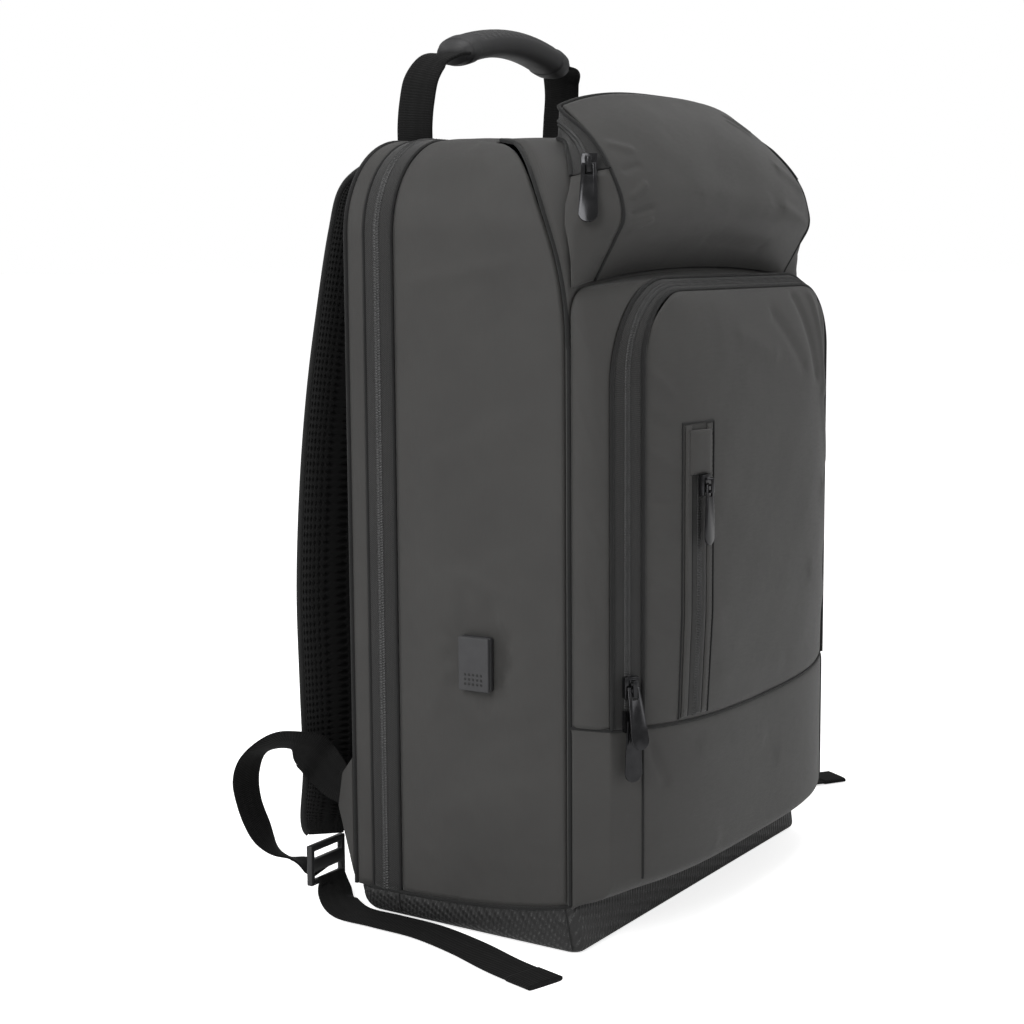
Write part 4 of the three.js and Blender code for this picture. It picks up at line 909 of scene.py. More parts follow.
def lower_spot(u, v):
    line_u = np.array([0, 0.06, 0.12, 0.88, 0.94, 1])
    line_x = np.array([-HALF, -HALF + 8, -FACE_RIM["half"], FACE_RIM["half"], HALF - 8, HALF])
    x = np.interp(u, line_u, line_x)
    z = LOWER_FOOT - 2 + (seam_at(x) - LOWER_FOOT + 2) * v
    side_depth = np.interp(np.abs(x), [FACE_RIM["half"], HALF - 8, HALF], [FACE_RIM_Y, ZIP_RIM_Y, RIM_Y])
    on_face = np.abs(x) <= FACE_RIM["half"]
    lively = creases(x, z, LOWER_FOLDS) * soft(FACE_RIM["half"] - np.abs(x), 0, 8)
    y = np.where(on_face, face_y(x, np.maximum(z, LOWER_SEAM), 0) - lively, side_depth)
    share = np.clip((z - LOWER_FOOT + 2) / (LOWER_ROUND + 2), 0, 1)
    reach = 0.10 + 0.90 * np.sqrt(np.maximum(1 - (1 - share) ** 2.2, 0))
    depth = y - RIM_Y
    drop = np.where(on_face, 0, (LOWER_FOOT - BOOT_TOP - SEAM) * (1 - np.abs(depth) / 32))
    low = 1 - np.clip((z - LOWER_FOOT + 2) / (4 * LOWER_ROUND), 0, 1)
    top_tuck = 1.0 * np.exp(-(1 - v) * 90 / 1.6)
    side_out = np.where(on_face, 0, 1.2 * np.sin(pi * np.clip((HALF - np.abs(x)) / 26, 0, 1)))
    return x + np.sign(x) * side_out, RIM_Y + depth * reach + top_tuck, z - drop * low


lower_cloth = panel("lower_front_cloth", 320, 60, lower_spot, (350, 95), (0, 260, 160), 1.8)
worn_by(lower_cloth, "cloth", "lower_front")
lower_cloth.data.materials.append(charcoal)
seam_shadow = rope("lower_seam_cord", along(lambda u, v: lower_spot(u, 1.0 + 0 * u), 0, 260), 1.0)
worn_by(seam_shadow, "cloth")
seam_shadow.data.materials.append(piping_black)


def upright_line(at):
    return along(lambda u, v: lower_spot(at + 0 * u, u), 0.0, 60, 0.12, 1.0)


upright_seams = joined("lower_front_seams", [
    rope(f"lower_front_seam_{k}", upright_line(at), 0.8) for k, at in enumerate((0.12, 0.88))
])
worn_by(upright_seams, "cloth")
upright_seams.data.materials.append(piping_black)

# Corner seams
# The side panel meets the compartment and the yoke in a plain seam down each front corner, and the shade in its
# groove is painted as a thin black cord.
for side, word in ((-1, "left"), (1, "right")):
    def seam_line(u, v, side=side):
        z = FOOT + (TOP - 2 - FOOT) * u
        full = 2.0
        y = np.where(z > SHOULDER_Z, front_at(z, 1.0, full), FRONT + 0.5)
        return side * (half_at(z, HALF, TOP, CORNER) - 0.7), y - 0.2, z
    # A thin black cord in the corner's groove: painted shade.
    seam = rope(f"corner_seam_shade_{word}", along(seam_line, 0, 200), 1.3)
    worn_by(seam, "cloth")
    seam.data.materials.append(piping_black)

# Slit pocket
# An upright zip let into the face between two turned welts, with a cloth hood over its upper end.
slit_low, slit_high = ((c - MIDDLE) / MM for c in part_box("slit_tape"))


def on_face(x0, x1, z0, z1, lift, crown=0.0):
    def at(u, v):
        x = x0 + (x1 - x0) * u
        z = z0 + (z1 - z0) * v
        edge = crown * (1 - (2 * u - 1) ** 4) * (1 - (2 * v - 1) ** 30)
        return x, face_y(x, z) - lift - edge, z
    return at


BEHIND_FACE = (0, 300, 240)
for word in ("left", "right"):
    low, high = ((c - MIDDLE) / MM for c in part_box(f"slit_welt_{word}"))
    welt_spot = on_face(low.x, high.x, low.z, high.z, 0.5, 0.9)
    welt = panel(f"slit_welt_{word}_cloth", 16, 150, welt_spot, (7, 170), BEHIND_FACE, 0.5)
    worn_by(welt, "cloth", f"slit_welt_{word}")
    welt.data.materials.append(charcoal)
slit_tape_spot = on_face(slit_low.x, slit_high.x, slit_low.z, slit_high.z, 0.3, 0.2)
slit_tape = panel("slit_zip_tape", 10, 140, slit_tape_spot, (12, 166), (0, 300, 240), 0.4)
worn_by(slit_tape, "zip", "slit_tape")
slit_tape.data.materials.append(tape_black)


def upright(at):
    return lambda u, v: at(v, u)


teeth_spot = coil_spot(upright(slit_tape_spot), front_out, 166)
slit_coil = panel("slit_zip_coil", 440, 10, teeth_spot, (166, 5), BEHIND_FACE, 0.4)
worn_by(slit_coil, "zip")
slit_coil.data.materials.append(coil_black)
flap_low, flap_high = ((c - MIDDLE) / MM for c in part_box("slit_flap"))
hood_spot = on_face(flap_low.x, flap_high.x, flap_low.z, flap_high.z, 1.6, 1.6)
flap = panel("slit_hood_cloth", 26, 34, hood_spot, (18, 25), BEHIND_FACE, 0.9)
worn_by(flap, "cloth", "slit_flap")
flap.data.materials.append(charcoal)
frame_line = [
    (slit_low.x - 7.3, slit_low.z - 0.5), (slit_low.x - 7.3, slit_high.z + 5),
    (slit_high.x + 7.3, slit_high.z + 5), (slit_high.x + 7.3, slit_low.z - 0.5),
]
edge_line = []
for (xa, za), (xb, zb) in zip(frame_line, frame_line[1:]):
    for s in np.linspace(0, 1, 60):
        xs, zs = xa + (xb - xa) * s, za + (zb - za) * s
        edge_line.append((xs, float(face_y(np.array([xs]), np.array([zs]))[0]) - 0.1, zs))
slit_seam = rope("slit_frame_seam", edge_line, 0.6)
worn_by(slit_seam, "cloth")
slit_seam.data.materials.append(piping_black)

# Stitching
# Short stitches of dark thread run beside the welts of the slit pocket.
bpy.ops.object.select_all(action="DESELECT")
bpy.ops.mesh.primitive_uv_sphere_add(segments=8, ring_count=5, radius=0.5)
stitch_model = bpy.context.object
stitch_points = np.array([v.co for v in stitch_model.data.vertices])
stitch_faces = [list(f.vertices) for f in stitch_model.data.polygons]
bpy.data.objects.remove(stitch_model)


def stitched(name, lines, pitch=3.2, length=2.2, thick=0.55):
    """Stitches along lines of spots in mm, sunk by half their thickness."""
    points, faces = [], []
    for line in lines:
        spots = np.array(line)
        steps = np.linalg.norm(np.diff(spots, axis=0), axis=1)
        far = np.concatenate([[0], np.cumsum(steps)])
        for start in np.arange(pitch / 2, far[-1] - length / 2, pitch):
            a = np.array([np.interp(start - length / 2, far, spots[:, k]) for k in range(3)])
            b = np.array([np.interp(start + length / 2, far, spots[:, k]) for k in range(3)])
            ahead = (b - a) / (np.linalg.norm(b - a) + 1e-9)
            other = np.cross(ahead, (0.3, 0.5, 0.8))
            other /= np.linalg.norm(other)
            third = np.cross(ahead, other)
            base = len(points)
            turned = (
                stitch_points[:, [0]] * ahead * length
                + stitch_points[:, [1]] * other * thick
                + stitch_points[:, [2]] * third * thick
            )
            points.extend((turned + (a + b) / 2) * MM + np.array(MIDDLE))
            faces.extend([[base + k for k in face] for face in stitch_faces])
    mesh = bpy.data.meshes.new(name)
    mesh.from_pydata([tuple(p) for p in points], [], faces)
    mesh.shade_smooth()
    piece = bpy.data.objects.new(name, mesh)
    bpy.context.collection.objects.link(piece)
    return piece


thread_black, tree, shader = finish("sewing_thread", 0.6, 0.2, 0.4)
mottled(tree, shader, 0.004, grey(0.020), (0.055, 0.054, 0.052))


def face_line(x0, z0, x1, z1, lift, count=80):
    xs, zs = np.linspace(x0, x1, count), np.linspace(z0, z1, count)
    ys = face_y(xs, zs) - lift
    return [(float(a), float(b), float(c)) for a, b, c in zip(xs, ys, zs)]


welt_left, welt_right = slit_low.x - 4.2, slit_high.x + 4.2
pocket_stitches = stitched("slit_pocket_stitches", [
    face_line(welt_left, slit_low.z, welt_left, slit_high.z + 2, 1.35),
    face_line(welt_right, slit_low.z, welt_right, slit_high.z + 2, 1.35),
    face_line(slit_low.x - 8.4, slit_low.z, slit_low.x - 8.4, slit_high.z + 6, 0.1),
    face_line(slit_high.x + 8.4, slit_low.z, slit_high.x + 8.4, slit_high.z + 6, 0.1),
], 2.6, 1.7, 0.45)
worn_by(pocket_stitches, "cloth")
pocket_stitches.data.materials.append(thread_black)

# Top box
# A rounded pocket stands in front of the shoulder: a swelling face, a small panel at each end,
# and a coil zip that runs up one end, along its rear edge and down the other.
BOX_HALF = 123.0
BOX_TOP_HALF = 113.0
BOX_TOP = 472.0
BOX_CROWN = 11.0
BOX_SWELL = 9.0
BOX_ZIP_FOOT = 432.0
BOX_LAP = 2.0
NOTCH = 371.0
BOX_PROFILE = np.array([
    # share of the way up, how far out, height, share of the swell
    (0.00, 0, 373, 0), (0.12, 7, 386, 0.5), (0.22, 13, 397, 0.9), (0.34, 18, 408, 1), (0.45, 17, 419, 1),
    (0.56, 13, 430, 1), (0.68, 5, 443, 1), (0.83, -9, 458, 0.9), (1.00, -26, 472, 0.5),
])
BOX_FOLDS = [
    # x and share up the face of both ends as mm, half width, height, in mm
    (-113, 40, -100, 48, 3.0, 1.2),
    (-114, 56, -98, 60, 3.0, -1.3),
    (-113, 70, -101, 78, 3.0, 1.2),
    (-112, 90, -99, 92, 2.8, -0.9),
    (-111, 110, -97, 104, 3.0, 1.0),
    (60, 134, 78, 124, 2.0, 0.8),
    (64, 140, 84, 128, 2.0, -0.8),
    (72, 142, 90, 130, 2.0, 0.8),
    (-40, 70, 40, 62, 12, 1.0),
    (-20, 26, 60, 22, 6, -1.2),
    (70, 60, 112, 44, 8, 1.4),
    (84, 96, 116, 84, 6, 1.2),
]


def through(t, knots, values):
    """Smooth curve through the rows of a table."""
    slopes = np.gradient(values, knots)
    i = np.clip(np.searchsorted(knots, t, side="right") - 1, 0, len(knots) - 2)
    h = knots[i + 1] - knots[i]
    s = (t - knots[i]) / h
    return (
        (1 + 2 * s) * (1 - s) ** 2 * values[i] + s * (1 - s) ** 2 * h * slopes[i]
        + s * s * (3 - 2 * s) * values[i + 1] + s * s * (s - 1) * h * slopes[i + 1]
    )


def box_face_spot(u, share, life=1.0):
    w = 2 * u - 1
    out, z, swell = (through(share, BOX_PROFILE[:, 0], BOX_PROFILE[:, k]) for k in (1, 2, 3))
    calm = 1 - np.abs(w) ** 3
    narrow = np.clip((z - BOX_ZIP_FOOT) / (BOX_TOP - BOX_ZIP_FOOT), 0, 1)
    x = w * (BOX_HALF + (BOX_TOP_HALF - BOX_HALF) * narrow)
    high = np.clip((z - NOTCH) / (BOX_TOP - NOTCH), 0, 1)
    rise = np.clip(1 - share / 0.45, 0, 1) * NOTCH_RISE * (1 - (x / HALF) ** 2)
    relief = creases(x, share * 150, BOX_FOLDS) + 0.5 * rumple(x, share * 150, 26, 2.0)
    relief = relief * life * soft(1 - np.abs(w), 0, 0.06) * soft(np.minimum(share, 1 - share), 0, 0.08)
    y = FRONT - out - BOX_SWELL * calm * swell - BOX_LAP - relief
    return x, y, z + rise + BOX_CROWN * calm * high**2 + 0.3 * relief


box_cloth = panel("top_box_cloth", 170, 100, box_face_spot, (246, 150), (0, -40, 415))
worn_by(box_cloth, "cloth", "box_face")
box_cloth.data.materials.append(charcoal)

BOX_EDGE = np.array([
    # share up the face, share of the body's half width, how far behind the face's edge, height on the yoke
    (0.00, 0.985, 0, 372.5), (0.12, 0.985, 0, 384), (0.22, 0.985, 0, 395), (0.34, 0.985, 0, 406),
    (0.45, 0.975, 0, 417), (0.58, 0.955, 0, 428), (0.62, 0.950, 0, 432), (0.80, 0.945, 0, 446),
    (0.98, 0.930, 1.35, 453.5),
])
ZIP_FROM = 6


def edge_pair(t, side):
    """Spots on the box face's edge and on the yoke at a row of the table, which may lie between rows."""
    rows = np.arange(len(BOX_EDGE))
    share, wide, back, z = (np.interp(t, rows, BOX_EDGE[:, k]) for k in range(4))
    fx, fy, fz = box_face_spot(0 * share, share, 0.0)
    x = wide * half_at(z, HALF, TOP, CORNER)
    y = front_at(z, 0, fullness_at(wide))
    rise = np.clip((z - 415) / 40, 0, 1)
    face = np.stack([side * (np.abs(fx) + SEAM + 1.2), fy + 0.4 + back * 3.6, fz], axis=-1)
    wall = np.stack([side * x, y - SEAM - 2.5, z + (SEAM + 0.6) * rise], axis=-1)
    return face, wall


def end_spot(side):
    def at(u, v):
        face, wall = edge_pair(u * (ZIP_FROM - 0.12), side)
        w = 0.01 + 0.98 * v
        spot = face + (wall - face) * w[:, None]
        bulge = 2.5 * 4 * v * (1 - v) + 0.7 * rumple(u * 60, v * 26, 8, 1.4) - 1.0 * np.exp(-v * 26 / 1.6)
        return spot[:, 0] + side * bulge, spot[:, 1] - bulge * 0.3, spot[:, 2]
    return at


for side, word in ((-1, "left"), (1, "right")):
    end = panel(f"top_box_end_{word}_cloth", 70, 34, end_spot(side), (62, 28), (0, -45, 415))
    worn_by(end, "cloth", f"box_end_{word}")
    end.data.materials.append(charcoal)


def wall_top(u, y):
    full = fullness_at(u)
    share = np.clip((SHOULDER_Y - y) / SHOULDER_DEPTH, 0, 1)
    z = SHOULDER_Z + SHOULDER_HEIGHT * (1 - share**full) ** (1 / full)
    return np.stack([u * half_at(np.minimum(z, TOP - 3), HALF, TOP, CORNER), y + 0 * u, z], axis=-1)


def box_zip_pairs(u):
    """Face and wall spots of the zip band, u from its left foot over the top to its right foot."""
    m = np.where(u > 0.5, 1 - u, u)
    side = np.where(u > 0.5, 1.0, -1.0)
    climb = np.clip(m / 0.16, 0, 1)
    rows = ZIP_FROM + climb * (len(BOX_EDGE) - 1 - ZIP_FROM)
    face, wall = edge_pair(rows, side)
    over = np.clip((m - 0.16) / 0.34, 0, 1)
    w = side * 0.95 * (1 - over)
    fx, fy, fz = box_face_spot((w + 1) / 2, 1.0 + 0 * w, 0.0)
    last_y = edge_pair(np.array([len(BOX_EDGE) - 1.0]), -1)[1][0, 1]
    top_face = np.stack([fx, fy + 3.4 + SEAM, fz - 0.3], axis=-1)
    top_wall = wall_top(w, last_y + 2) + np.array([0, 0, 2 * SEAM])
    share = soft(m, 0.13, 0.20)[:, None]
    return face * (1 - share) + top_face * share, wall * (1 - share) + top_wall * share


def box_zip_spot(u, v):
    face, wall = box_zip_pairs(u)
    spot = face + (wall - face) * (0.015 + 0.97 * v)[:, None]
    return spot[:, 0], spot[:, 1], spot[:, 2]


box_tape = panel("top_box_zip_tape", 260, 14, box_zip_spot, (370, 25), (0, -45, 415), 1.1)
worn_by(box_tape, "zip", "box_zip")
box_tape.data.materials.append(tape_black)


def box_out(x, y, z):
    return np.stack([x * 0.5, -30 + 0 * x, z - 400], axis=1)


teeth_spot = coil_spot(box_zip_spot, box_out, 370)
box_coil = panel("top_box_zip_coil", 1000, 10, teeth_spot, (370, 5), (0, -45, 415), 0.5)
worn_by(box_coil, "zip")
box_coil.data.materials.append(coil_black)
box_piping = joined("top_box_piping", [
    rope("box_piping_face", along(box_zip_spot, -0.02, 220), 1.2),
    rope("box_piping_wall", along(box_zip_spot, 1.0, 220), 1.2),
    rope("box_piping_left", along(end_spot(-1), -0.02, 60), 1.3),
    rope("box_piping_right", along(end_spot(1), -0.02, 60), 1.3),
])
worn_by(box_piping, "zip")
box_piping.data.materials.append(piping_black)

# Carrying handle
# A loop of webbing rises from behind the main zip and leans forward through a moulded grip with
# slanting ribs across its top.
HANDLE = np.array([
    # share out from the grip's end, share up, share of the lean
    (1.00, 0.01, 0), (1.00, 0.16, 0), (0.98, 0.36, 0.1), (0.90, 0.58, 0.3), (0.62, 0.74, 0.6),
    (0.28, 0.81, 1), (0, 0.83, 1),
])
HANDLE_HALF = 84.0
HANDLE_Y = 69.0
HANDLE_LEAN = 11.5
HANDLE_RISE = 64.0
GRIP_HALF = 61.0
GRIP_WIDTH = 27.0
GRIP_THICK = 17.0
WEB_WIDTH = 25.0


def swept(spots, widths_across, section):
    """Surface swept through spots, turned by their across directions, with section(u, v) in mm."""
    knots = np.linspace(0, 1, len(spots))

    def place(t):
        return np.stack([through(t, knots, spots[:, k]) for k in range(3)], axis=-1)

    def at(u, v):
        here = place(u)
        ahead = place(np.clip(u + 0.004, 0, 1)) - place(np.clip(u - 0.004, 0, 1))
        ahead /= np.linalg.norm(ahead, axis=1, keepdims=True)
        side = np.stack([through(u, knots, widths_across[:, k]) for k in range(3)], axis=-1)
        side = side - ahead * (side * ahead).sum(axis=1, keepdims=True)
        side /= np.linalg.norm(side, axis=1, keepdims=True)
        face = np.cross(ahead, side)
        a, b = section(u, v)
        spot = here + side * a[:, None] + face * b[:, None]
        return spot[:, 0], spot[:, 1], spot[:, 2]
    return at


def flat_strip(width, thick, ends=None):
    """Section of a flat strap with rounded edges; v runs round it."""
    def section(u, v):
        turn = v * 2 * pi
        c, s = np.cos(turn), np.sin(turn)
        grow = ends(u) if ends else 1.0
        return width / 2 * np.sign(c) * np.abs(c) ** 0.32, thick * grow / 2 * np.sign(s) * np.abs(s) ** 0.55
    return section


webbing_black = ribbed("webbing_black", grey(0.003), grey(0.012), 0.0016, 0.0, 0.0003, 0.8, 0.02, 0.15)
near = GRIP_HALF + SEAM
for side, word in ((-1, "left"), (1, "right")):
    spots = np.array([
        (side * (near + (HANDLE_HALF - near) * out), HANDLE_Y - HANDLE_LEAN * lean, TOP + 0.2 + HANDLE_RISE * up)
        for out, up, lean in HANDLE
    ])
    spots[-1, 0] -= side * 3
    across = np.tile([0.0, 1.0, 0.0], (len(spots), 1))
    leg_spot = swept(spots, across, flat_strip(WEB_WIDTH, 2.6))
    leg = panel(f"handle_webbing_{word}", 90, 48, leg_spot, (85, 54), (0, 0, 0), 0, ring=True)
    worn_by(leg, "webbing", f"handle_leg_{word}")
    leg.data.materials.append(webbing_black)


def grip_spot(u, v):
    share = 2 * u - 1
    turn = v * 2 * pi
    c, s = np.cos(turn), np.sin(turn)
    end = 1 - 0.22 * np.abs(share) ** 14
    over = soft(s, 0.25, 0.9) * soft(0.74 - np.abs(share), 0, 0.06)
    slant = share * 11 + c * 1.1
    ribs = np.sin(slant * pi) ** 2 * over
    collar = 1.0 * (np.abs(np.abs(share) - 0.86) < 0.06)
    low = 1 - HANDLE[-1, 1]
    x = share * GRIP_HALF
    z0 = TOP + HANDLE_RISE * (1 - low * share**2)
    slope = -2 * HANDLE_RISE * low * share / GRIP_HALF
    nx, nz = -slope / np.hypot(1, slope), 1 / np.hypot(1, slope)
    b = (GRIP_THICK / 2 * s * end - 1.6 * (1 - np.clip(ribs * 1.6, 0, 1)) * over) + 0.6 * collar * s
    a = (GRIP_WIDTH / 2 * np.sign(c) * np.abs(c) ** 0.85) * end + 0.6 * collar * c
    return x + nx * b, HANDLE_Y - HANDLE_LEAN + a, z0 + nz * b


grip = panel("handle_grip_moulding", 300, 72, grip_spot, (130, 72), (0, 0, 0), 0, ring=True)
worn_by(grip, "grip", "handle_grip")
grip_rubber, tree, shader = finish("grip_rubber", 0.5, 0.0, 0.45)
marks = mottled(tree, shader, 0.012, (0.014, 0.014, 0.015), (0.030, 0.030, 0.031))


def fine_grain(tree, scale):
    place = knit(tree, "ShaderNodeTexCoord").outputs["Object"]
    return knit(tree, "ShaderNodeTexNoise", place, None, scale, 2.0, 0.5).outputs[0]


tree.links.new(bump(tree, fine_grain(tree, 2600.0), 0.00008, 0.7), shader.inputs["Normal"])
tree.links.new(ranged(tree, marks, 0.40, 0.62), shader.inputs["Roughness"])
grip.data.materials.append(grip_rubber)

# Shoulder straps
# Foam straps under spacer mesh, bound along both edges, hang down behind the pack and end in
# short tapered points that hold the ladder locks.
STRAP_STAND = 39.0
LOCK_TOP = 39.8
STRAP = np.array([
    # shares of the body's half width, of the stand behind the back, of the height, of width and of thickness
    (0.537, 0.026, 1, 0.86, 0.5), (0.537, 0.333, 0.995, 0.94, 0.8), (0.570, 0.690, 0.958, 1, 1),
    (0.604, 0.820, 0.894, 1, 1), (0.661, 0.910, 0.778, 1, 1), (0.721, 0.960, 0.655, 1, 1),
    (0.768, 0.987, 0.519, 1, 1), (0.795, 1, 0.371, 1, 1),
    (0.805, 0.960, 0.223, 0.98, 1), (0.836, 0.885, 0.104, 0.9, 0.9), (0.902, 0.860, 0.025, 0.72, 0.6),
    (0.919, 0.774, 0, 0.56, 0.3),
]) * (HALF, STRAP_STAND, TOP - 12 - LOCK_TOP, 1, 1) + (0, REAR, LOCK_TOP, 0, 0)
STRAP_WIDTH = 50.0
STRAP_THICK = 13.0


def strap_section(u, v):
    knots = np.linspace(0, 1, len(STRAP))
    width = through(u, knots, STRAP[:, 3]) * STRAP_WIDTH
    thick = through(u, knots, STRAP[:, 4]) * STRAP_THICK
    turn = v * 2 * pi
    c, s = np.cos(turn), np.sin(turn)
    soft_form = 1 + 0.03 * rumple(u * 420, s * 12, 22, 0.2)
    return width / 2 * np.sign(c) * np.abs(c) ** 0.5, thick / 2 * np.sign(s) * np.abs(s) ** 0.8 * soft_form


for side, word in ((-1, "left"), (1, "right")):
    spots = STRAP[:, :3] * np.array([side, 1, 1])
    across = np.tile([1.0, 0.12 * side, 0.0], (len(spots), 1))
    across[:2] = (1.0, 0.0, 0.0)
    strap_spot = swept(spots, across, strap_section)
    strap = panel(f"shoulder_strap_{word}_pad", 240, 60, strap_spot, (430, 130), (0, 0, 0), 0, ring=True)
    worn_by(strap, "mesh", f"shoulder_strap_{word}")
    strap.data.materials.append(spacer)
    binding = joined(f"shoulder_strap_{word}_binding", [
        rope(f"binding_{word}_{k}", along(strap_spot, v, 160, 0.01, 0.99), 1.9)
        for k, v in enumerate((0.0, 0.5))
    ])
    worn_by(binding, "webbing")
    binding.data.materials.append(piping_black)

# Ladder locks
# A moulded two-slot buckle joins each strap's point to the adjusting webbing.
lock_plastic, tree, shader = finish("lock_plastic", 0.32, 0.0, 0.5)
marks = mottled(tree, shader, 0.01, (0.010, 0.010, 0.011), (0.022, 0.022, 0.023))
tree.links.new(ranged(tree, marks, 0.25, 0.42), shader.inputs["Roughness"])


def softened(node, name, width, slot, body="pack", segments=2):
    """A hard CAD node's shape with its edges rounded over."""
    bpy.ops.object.select_all(action="DESELECT")
    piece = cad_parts[node].copy()
    piece.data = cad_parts[node].data.copy()
    piece.name = name
    piece.parent = None
    piece.matrix_world = Matrix.Identity(4)
    bpy.context.collection.objects.link(piece)
    piece.data.materials.clear()
    piece.select_set(True)
    bpy.context.view_layer.objects.active = piece
    bpy.ops.object.mode_set(mode="EDIT")
    bpy.ops.mesh.select_all(action="SELECT")
    bpy.ops.mesh.remove_doubles(threshold=0.000002)
    bpy.ops.mesh.dissolve_limited(angle_limit=radians(4))
    bpy.ops.object.mode_set(mode="OBJECT")
    edge = piece.modifiers.new("edge", "BEVEL")
    edge.width = width * MM
    edge.segments = segments
    edge.limit_method = "ANGLE"
    edge.angle_limit = radians(35)
    bpy.ops.object.modifier_apply(modifier="edge")
    bpy.ops.object.shade_smooth_by_angle(angle=radians(40))
    worn_by(piece, slot, node, body=body)
    return piece


for word in ("left", "right"):
    lock = softened(f"ladder_lock_{word}", f"ladder_lock_{word}_moulding", 0.8, "lock")
    lock.data.materials.append(lock_plastic)

# Adjusting webbing
# From a cloth wing at each lower corner the webbing loops round behind to the ladder lock, and
# its loose end lies forward on the floor with its tip folded and sewn.
LOOP_REACH = 74.0
LOOP_HEIGHT = 102.0
LOOP = np.array([
    # shares of the body's half width, of the loop's reach and of its height, and the way its width lies
    (0.969, 0.068, 0.725, 0, 0, 1), (0.969, 0.223, 0.755, 0, 0, 1), (0.993, 0.311, 0.843, 0.15, 0, 0.9),
    (1.047, 0.378, 0.951, 0.3, 0.1, 0.85), (1.094, 0.540, 1, 0.8, 0.1, 0.55), (1.114, 0.811, 0.912, 1, 0, 0.1),
    (1.114, 0.919, 0.765, 1, 0, 0), (1.107, 0.905, 0.598, 1, -0.1, 0), (1.087, 0.838, 0.441, 1, -0.1, 0.1),
    (1.054, 0.757, 0.324, 0.9, -0.1, 0.4), (1.007, 0.662, 0.245, 0.8, 0, 0.5),
    (0.963, 0.568, 0.196, 0.95, 0, 0.2),
    (0.936, 0.486, 0.172, 1, 0, 0), (0.930, 0.435, 0.167, 1, 0, 0),
]) * (HALF, LOOP_REACH, LOOP_HEIGHT, 1, 1, 1) + (0, REAR, 0, 0, 0, 0)
WEB_THICK = 1.6
WEB_REST = 0.5 + WEB_THICK / 2
LOCK_SPOT = np.array((HALF - 10.5, REAR + 29.5, 24.0))
TAIL_START = np.array(((0, -3.4, -8), (0.5, -7.1, -15), (7.5, -14.5, -20)))
TAILS = {
    # shares of the body's half width and half depth
    "left": (
        (1.050, 0.960), (1.066, 0.600), (1.083, 0.187), (1.151, -0.267), (1.248, -0.733), (1.315, -1.160),
    ),
    "right": (
        (1.094, 0.933), (1.235, 0.560), (1.383, 0.160), (1.530, -0.187), (1.691, -0.493), (1.866, -0.733),
    ),
}


def folded(u):
    """The tip of the loose end is folded double."""
    return 1 + 1.0 * (u > 0.93)



for side, word in ((-1, "left"), (1, "right")):
    spots = LOOP[:, :3] * np.array([side, 1, 1])
    across = LOOP[:, 3:] * np.array([side, 1, 1])
    loop_spot = swept(spots, across, flat_strip(WEB_WIDTH, WEB_THICK))
    loop = panel(f"adjusting_webbing_{word}", 260, 48, loop_spot, (300, 54), (0, 0, 0), 0, ring=True)
    worn_by(loop, "webbing", f"strap_webbing_{word}")
    loop.data.materials.append(webbing_black)
    lying = [(HALF * x, REAR * y, 0) for x, y in TAILS[word]]
    tail = np.concatenate([LOCK_SPOT + TAIL_START, lying]) * np.array([side, 1, 1])
    tail[:, 2] = np.maximum(tail[:, 2], WEB_REST)
    across = np.tile([1.0, side * 0.5, 0.0], (len(tail), 1))
    across[:3] = (1.0, 0.0, 0.0)
    end_line = swept(tail, across, flat_strip(WEB_WIDTH, WEB_THICK, folded))
    end = panel(f"webbing_end_{word}", 260, 48, end_line, (220, 54), (0, 0, 0), 0, ring=True)
    worn_by(end, "webbing", f"strap_tail_{word}")
    end.data.materials.append(webbing_black)

# Wings
# Folded triangles of the charcoal cloth, sewn in at the back's lower corners, hold the webbing.
for word in ("left", "right"):
    wing = softened(f"wing_{word}", f"wing_{word}_cloth", 0.7, "cloth")
    wing.data.materials.append(charcoal)

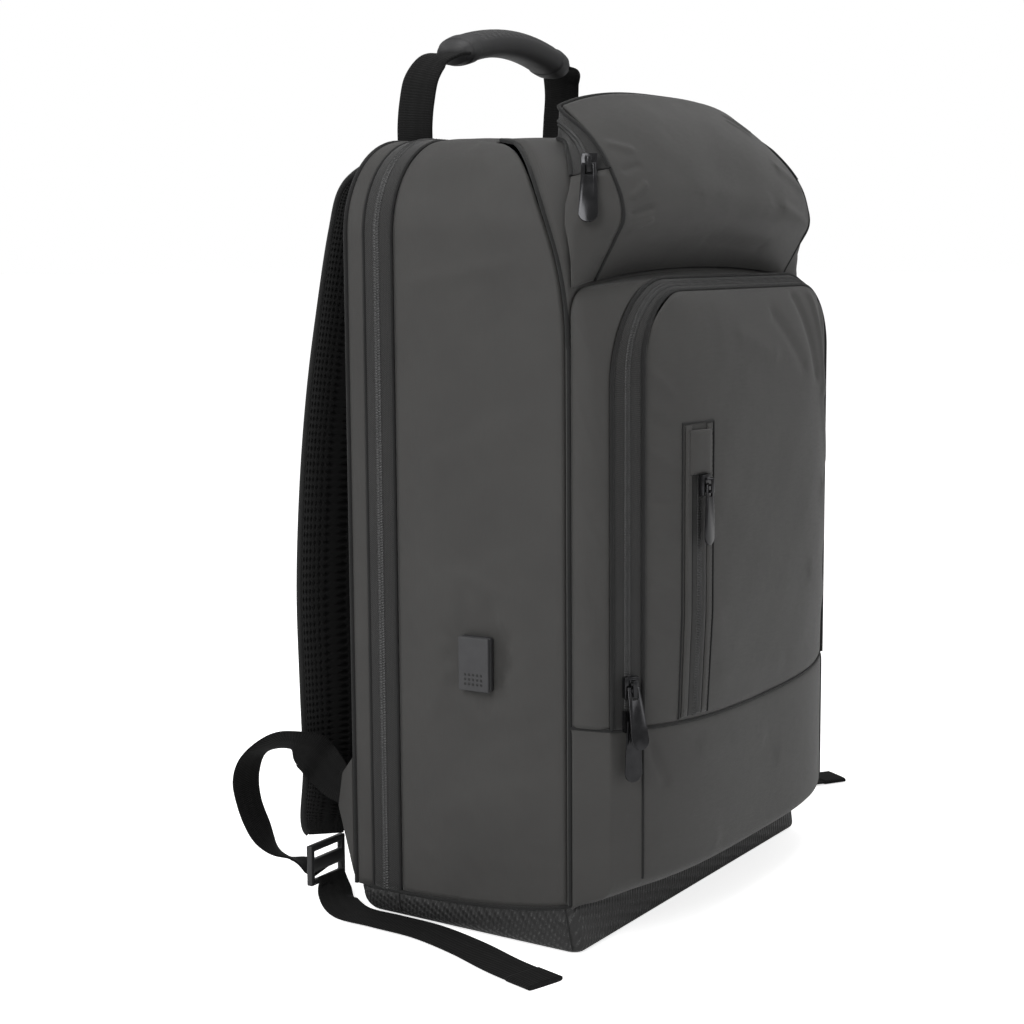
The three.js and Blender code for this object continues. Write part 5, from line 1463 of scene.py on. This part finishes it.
# USB outlet
# A matt moulded housing with a hinged cover stands in the dimple of the left side's cloth, which
# hides its backing plate. The cover is dotted near its lower end.
outlet_plastic, tree, shader = finish("outlet_plastic", 0.5, 0.0, 0.4)
mottled(tree, shader, 0.008, (0.016, 0.016, 0.017), (0.028, 0.028, 0.030))
cover_rubber, tree, shader = finish("cover_rubber", 0.6, 0.0, 0.4)
mottled(tree, shader, 0.008, (0.026, 0.026, 0.028), (0.046, 0.046, 0.048))
tree.links.new(bump(tree, fine_grain(tree, 3000.0), 0.00006, 0.6), shader.inputs["Normal"])
housing = softened("usb_housing", "usb_housing_moulding", 1.2, "outlet", segments=4)
housing.data.materials.append(outlet_plastic)
cover = softened("usb_cover", "usb_cover_moulding", 0.7, "cover", "usb_cover", segments=3)
cover.data.materials.append(cover_rubber)
cover_low, cover_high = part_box("usb_cover")
DOT_PITCH = 2.7
DOT_RADIUS = 0.9
dots = []
for row in range(3):
    for column in range(5):
        y = (cover_low.y + cover_high.y) / 2 + (column - 2) * DOT_PITCH * MM
        z = cover_low.z + (4 + row * DOT_PITCH) * MM
        spot = (cover_low.x + 0.1 * MM, y, z)
        bpy.ops.mesh.primitive_uv_sphere_add(segments=12, ring_count=8, radius=DOT_RADIUS * MM, location=spot)
        dot = bpy.context.object
        dot.scale = (0.4, 1, 1)
        bpy.ops.object.transform_apply(location=True, rotation=True, scale=True)
        dot.data.shade_smooth()
        dots.append(dot)
cover_dots = joined("usb_cover_dots", dots)
worn_by(cover_dots, "cover", body="usb_cover")
dot_dark, tree, shader = finish("dot_dark", 0.5, 0.0, 0.4)
mottled(tree, shader, 0.004, grey(0.003), grey(0.008))
cover_dots.data.materials.append(dot_dark)

# Sliders and pulls
# Black plated die castings. Each slider carries a bail, and a flat tapered pull with a round foot
# and a raised rim hangs from it.
plated, tree, shader = finish("black_plating", 0.16, 0.0, 0.6, 0.85)
marks = mottled(tree, shader, 0.006, (0.012, 0.012, 0.013), (0.040, 0.040, 0.042))
tree.links.new(ranged(tree, marks, 0.10, 0.26), shader.inputs["Roughness"])
for zip_name in ("slit", "front_upper", "front_lower", "box"):
    slider = softened(f"{zip_name}_slider", f"{zip_name}_slider_casting", 0.5, "slider", segments=3)
    slider.data.materials.append(plated)
    pull = softened(f"{zip_name}_pull", f"{zip_name}_pull_casting", 0.3, "pull", f"{zip_name}_pull", segments=2)
    pull.data.materials.append(plated)
